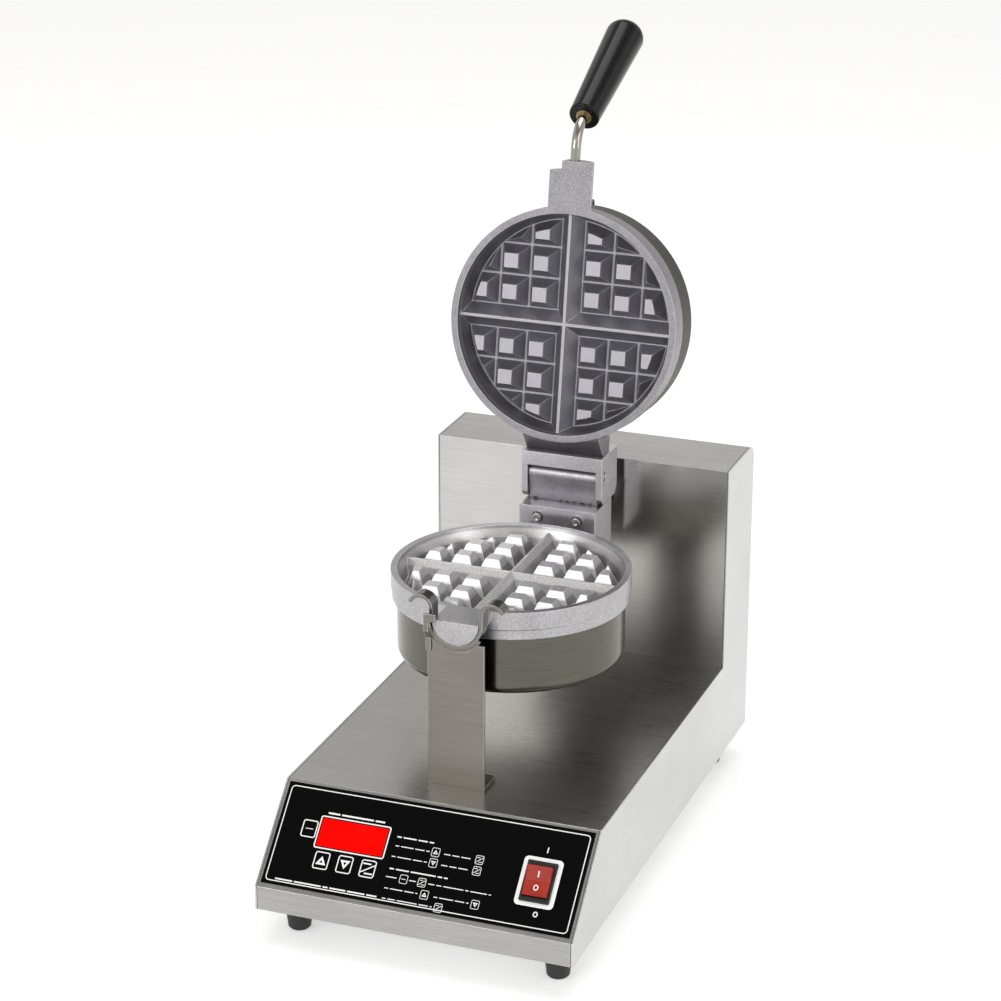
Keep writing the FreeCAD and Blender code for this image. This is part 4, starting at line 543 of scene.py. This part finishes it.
def words(solids, start, stop, t, height, lengths):
    """A row of plain dashes that stands in for a line of small print."""
    position, index = start, 0
    while position < stop - 1:
        length = min(lengths[index % len(lengths)], stop - position)
        bar(solids, position + length / 2, t, length, height, FILM)
        position += length + 1.5
        index += 1


def icon(solids, x, t, kind):
    outline(solids, x, t, 6.4, 7.0, 1.2, 0.42, FILM)
    if kind == "up":
        triangle(solids, x, t, 2.1, 1, FILM)
    elif kind == "down":
        triangle(solids, x, t, 2.1, -1, FILM)
    elif kind == "slash":
        bar(solids, x, t, 6.2, 0.45, FILM, math.radians(38))
        bar(solids, x - 0.9, t + 1.7, 2.6, 0.5, FILM)
        bar(solids, x + 0.9, t - 1.7, 2.6, 0.5, FILM)
    else:
        bar(solids, x, t, 3.2, 0.5, FILM)


def panel_print():
    """White lines, symbols and dashes printed on the overlay film."""
    lines = Solids()
    outline(lines, 0, 44.85, 241.4, 77.0, 3.2, 0.75, FILM)
    outline(lines, -61.55, 50.5, 57.4, 26.0, 2.0, 1.0, FILM)
    frame_x, frame_t = 90.1, 41.2
    lines.frame(round_corners(frame_x, frame_t, 30.6, 38.2, 3.4),
                round_corners(frame_x, frame_t, 23.4, 31.6, 1.0),
                FILM, FILM + INK_RISE, PANEL_PLANE)
    lines.piece("panel_lines", INK, "base")
    print_rows = Solids()
    words(print_rows, -85.5, -39.4, 66.0, 1.3, (9.5, 26.0, 8.0))
    words(print_rows, -112.6, -30.0, 8.6, 1.1, (14.0, 22.0, 4.0, 13.0))
    words(print_rows, -26.8, 4.1, 57.0, 1.0, (3.6, 10.5, 7.5))
    words(print_rows, -26.3, 1.2, 49.9, 0.7, (3.0, 10.0, 7.4))
    words(print_rows, 12.9, 36.0, 49.9, 0.7, (5.0, 5.6, 7.4))
    words(print_rows, -27.0, 1.2, 41.4, 0.7, (3.0, 11.0, 7.4))
    words(print_rows, 12.9, 36.0, 41.2, 0.7, (5.0, 5.6, 7.4))
    words(print_rows, -26.0, 20.6, 31.9, 1.0, (3.6, 10.5, 20.0))
    words(print_rows, -27.0, -17.5, 25.3, 0.7, (8.4,))
    words(print_rows, -8.3, -2.8, 25.3, 0.7, (5.2,))
    words(print_rows, 6.9, 56.8, 25.3, 0.7, (5.0, 4.0, 16.0, 2.6, 13.0))
    words(print_rows, -25.8, 0.6, 16.5, 0.7, (3.0, 10.0, 7.4))
    words(print_rows, 13.7, 41.4, 16.2, 0.7, (3.0, 11.0, 7.4))
    words(print_rows, -25.6, 14.3, 8.5, 0.7, (3.0, 6.0, 16.0, 7.4))
    for x, t, kind in ((6.0, 50.2, "up"), (41.0, 50.2, "slash"), (6.3, 41.7, "down"), (41.1, 41.5, "slash"),
                       (-12.9, 25.4, "plain"), (1.8, 25.4, "slash"), (6.2, 16.5, "up"), (46.6, 16.0, "down"),
                       (19.3, 8.6, "slash")):
        icon(print_rows, x, t, kind)
    bar(print_rows, 90.8, 66.6, 0.9, 4.4, FILM)
    off_x, off_t = 93.6, 16.9
    print_rows.frame(ellipse(off_x, off_t, 1.9, 2.2, 32), ellipse(off_x, off_t, 1.0, 1.35, 32),
                     FILM, FILM + INK_RISE, PANEL_PLANE)
    print_rows.piece("panel_symbols", INK, "base")


def key_print():
    for name, x, t, kind in (("temp_key", -97.0, 51.2, "plain"), ("up_key", -80.4, 28.3, "up"),
                             ("down_key", -61.5, 28.3, "down"), ("start_key", -42.6, 28.3, "slash")):
        mark = Solids()
        outline(mark, x, t, 12.2, 13.8, 2.0, 0.85, KEY_TOP)
        if kind == "up":
            triangle(mark, x, t - 0.3, 4.3, 1, KEY_TOP)
        elif kind == "down":
            triangle(mark, x, t + 0.3, 4.3, -1, KEY_TOP)
        elif kind == "slash":
            bar(mark, x, t, 12.4, 0.9, KEY_TOP, math.radians(33))
            bar(mark, x - 1.3, t + 3.8, 6.6, 1.1, KEY_TOP)
            bar(mark, x + 1.3, t - 3.8, 6.6, 1.1, KEY_TOP)
        else:
            bar(mark, x, t, 6.0, 0.55, KEY_TOP)
        mark.piece(name + "_print", INK, name)


def rocker_marks():
    """The on stroke and the off ring, printed on the rocker's two faces."""
    tilt = math.radians(7.0)
    pivot_rise = 1.6
    pivot = PANEL_PLANE @ Vector((90.0, 41.3, pivot_rise))
    up = Matrix.Rotation(SLOPE + tilt, 3, "X") @ Vector(Y_DIR)
    rocker = basis(X_DIR, up, pivot) @ Matrix.Scale(MM, 4)
    top, waist, half_length = 4.0, 2.6, 11.4
    face = math.atan2(top - waist, half_length)
    marks = Solids()
    upper = rocker @ Matrix.Rotation(face, 4, "X")
    stroke = [(-0.5, 3.2), (0.5, 3.2), (0.5, 7.8), (-0.5, 7.8)]
    face_low, face_high = 2.59, 2.64
    marks.plate(stroke, face_low, face_high, upper)
    lower = rocker @ Matrix.Rotation(-face, 4, "X")
    ring_t = -5.4
    marks.frame(ellipse(0, ring_t, 2.0, 2.3, 32), ellipse(0, ring_t, 1.2, 1.5, 32),
                face_low, face_high, lower)
    marks.piece("rocker_marks", INK, "power_rocker")


def hem(name, radius, origin, normal, body):
    """The rolled bead where a shell meets its grid."""
    beads = Solids()
    bead = 0.55
    profile = ellipse(radius, 0, bead, bead, 12)
    side = Vector(X_DIR)
    matrix = basis(side, normal.cross(side), origin) @ Matrix.Scale(MM, 4)
    beads.turned(profile, matrix, 160)
    beads.piece(name, FASTENER, body, True)


def welds():
    """Ripples of weld where the saddle strip meets the upright, and tacks under the knuckle."""
    beads = Solids()
    for step in range(17):
        angle = math.radians(218 + 104 * step / 16)
        radius = 0.0222 + 0.0002 * (step % 3)
        centre = Vector((radius * math.cos(angle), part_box("front_support")[0].y - 0.0001,
                         AXIS_Z + radius * math.sin(angle)))
        beads.bead(centre, (0.0011, 0.00045, 0.0009), Matrix.Rotation(-angle, 4, "Y"))
    beads.piece("saddle_welds", SUPPORT, "base", True)
    low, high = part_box("hinge_knuckle")
    tacks = Solids()
    for step, share in enumerate((0.09, 0.46, 0.56, 0.66, 0.78, 0.9)):
        centre = Vector((low.x + (high.x - low.x) * share, PIN_Y - 0.0046, low.z + 0.0012))
        reach = 0.0024 if step in (0, 4) else 0.0012
        tacks.bead(centre, (reach, 0.0003, 0.0007), Matrix.Rotation(0.1 * (step % 3), 4, "Y"))
    tacks.piece("knuckle_tacks", SEAM, "carriage", True)


def seams():
    """The shut line where each flat side panel meets the folded skins."""
    half_gap = 0.00022
    slope_length = 88.5 * MM
    deck_y = LIP_Y + slope_length * math.cos(SLOPE)
    deck_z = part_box("front_skin")[1].z
    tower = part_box("tower_skin")
    path = [(LIP_Y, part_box("front_skin")[0].z), (LIP_Y, LIP_Z), (deck_y, deck_z), (tower[0].y, deck_z),
            (tower[0].y, tower[1].z), (tower[1].y - 0.012, tower[1].z)]
    for name, side in (("left", -1), ("right", 1)):
        line = Solids()
        x = side * 0.1254
        for (y_a, z_a), (y_b, z_b) in zip(path, path[1:]):
            along = Vector((0, y_b - y_a, z_b - z_a))
            matrix = basis(X_DIR, along, (x, y_a, z_a))
            length = along.length
            strip = [(-half_gap, 0), (half_gap, 0), (half_gap, length), (-half_gap, length)]
            line.plate(strip, -0.0002, 0.00005, matrix)
        line.piece(f"{name}_shut_line", SEAM, "base")


def screw_recesses():
    """Cross recesses in the rear cover's screws."""
    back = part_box("cover_screws")[1].y
    marks = Solids()
    for side in (-1, 1):
        for share in (0.2, 0.5, 0.8):
            centre = (side * 0.1185, back + 0.00002, (27.0 + 165.0 * share) * MM)
            matrix = basis((-1, 0, 0), Z_DIR, centre) @ Matrix.Scale(MM, 4)
            for turn in (0.35, 0.35 + math.pi / 2):
                cosine, sine = math.cos(turn), math.sin(turn)
                corners = [(-2.1, -0.35), (2.1, -0.35), (2.1, 0.35), (-2.1, 0.35)]
                turned = [(cosine * a - sine * b, sine * a + cosine * b) for a, b in corners]
                marks.plate(turned, -0.1, 0.03, matrix)
    marks.piece("cover_screw_recesses", SEAM, "base")


def pin_marks():
    """Two staking dots on the yoke's arm beside the pin."""
    dots = Solids()
    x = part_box("hinge_yoke")[1].x
    for rise in (0.0065, 0.0005):
        dots.bead(Vector((x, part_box("hinge_yoke")[0].y + 0.0065, PIN_Z + rise)), (0.00035, 0.0012, 0.0015))
    dots.piece("pin_dots", SEAM, "lid", True)


def screw_shadows():
    """Painted shadow rings round the heads of the two carriage screws."""
    rings = Solids()
    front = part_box("carriage_block")[0].y
    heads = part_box("carriage_screws")
    height = (heads[0].z + heads[1].z) / 2
    bolt_x = 0.0168
    for side in (-1, 1):
        matrix = basis(X_DIR, Z_DIR, (side * bolt_x, front, height)) @ Matrix.Scale(MM, 4)
        rings.frame(ellipse(0, 0, 4.7, 4.7, 40), ellipse(0, 0, 3.9, 3.9, 40), -0.05, 0.06, matrix)
    rings.piece("screw_shadow_rings", SEAM, "carriage")


# ---------------------------------------------------------------- studio
def soft_box(name, place, aim, size, power, tint=(1, 1, 1)):
    data = bpy.data.lights.new(name, "AREA")
    data.shape = "RECTANGLE"
    data.size, data.size_y = size
    data.energy = power
    data.color = tint
    made = bpy.data.objects.new(name, data)
    made.location = place
    made.rotation_euler = (Vector(aim) - Vector(place)).to_track_quat("-Z", "Y").to_euler()
    bpy.context.scene.collection.objects.link(made)


def studio():
    floor_mesh = bmesh.new()
    bmesh.ops.create_grid(floor_mesh, x_segments=8, y_segments=8, size=14.0)
    data = bpy.data.meshes.new("floor")
    floor_mesh.to_mesh(data)
    floor_mesh.free()
    look = Look("pale_floor", (0.8, 0.8, 0.8), 0.8, 0.0, Specular_IOR_Level=0.0, Emission_Color=(1, 1, 1, 1),
                Emission_Strength=0.42)
    tone = look.mix(look.noise((3, 3, 3)), (0.79, 0.79, 0.79), (0.81, 0.81, 0.81))
    data.materials.append(look.finish(tone))
    floor = bpy.data.objects.new("floor", data)
    bpy.context.scene.collection.objects.link(floor)
    world = bpy.data.worlds.new("studio")
    bpy.context.scene.world = world
    world.use_nodes = True
    tree = world.node_tree
    ramp = tree.nodes.new("ShaderNodeValToRGB")
    split = tree.nodes.new("ShaderNodeSeparateXYZ")
    tree.links.new(tree.nodes.new("ShaderNodeTexCoord").outputs["Generated"], split.inputs["Vector"])
    tree.links.new(split.outputs["Z"], ramp.inputs["Fac"])
    stops = ((0.0, 0.8), (0.2, 0.62), (0.33, 0.64), (0.43, 1.0), (0.56, 0.72), (0.78, 0.34), (1.0, 0.6))
    while len(ramp.color_ramp.elements) < len(stops):
        ramp.color_ramp.elements.new(0.5)
    for element, (place, level) in zip(ramp.color_ramp.elements, stops):
        element.position = place
        element.color = (level, level * 0.99, level * 0.97, 1)
    tree.links.new(ramp.outputs["Color"], tree.nodes["Background"].inputs["Color"])
    tree.nodes["Background"].inputs["Strength"].default_value = 1.0
    middle = (0, -0.03, 0.25)
    soft_box("key", (-1.6, -2.6, 1.35), middle, (2.0, 1.2), 20)
    soft_box("fill", (2.2, -0.9, 1.3), middle, (1.2, 1.6), 9)
    soft_box("overhead", (0.1, 0.3, 2.7), middle, (2.4, 1.6), 26)
    bpy.context.scene.view_settings.view_transform = "Standard"


def camera():
    data = bpy.data.cameras.new("view")
    data.lens = 107.03
    data.sensor_width = 36.0
    data.clip_end = 100.0
    made = bpy.data.objects.new("view", data)
    made.location = (0.74301, -2.04810, 1.11653)
    aim = Vector((0.01116, -0.08503, 0.31931)) - made.location
    turned = aim.to_track_quat("-Z", "Y").to_matrix().to_4x4() @ Matrix.Rotation(math.radians(0.089), 4, "Z")
    made.rotation_euler = turned.to_euler()
    bpy.context.scene.collection.objects.link(made)
    bpy.context.scene.camera = made


camera()
studio()
dress_nodes()
panel_print()
key_print()
rocker_marks()
hem("lower_hem", 89.7, (0, GRID_Y, AXIS_Z - 0.0229), Vector(Z_DIR), "carriage")
welds()
seams()
screw_recesses()
pin_marks()
screw_shadows()
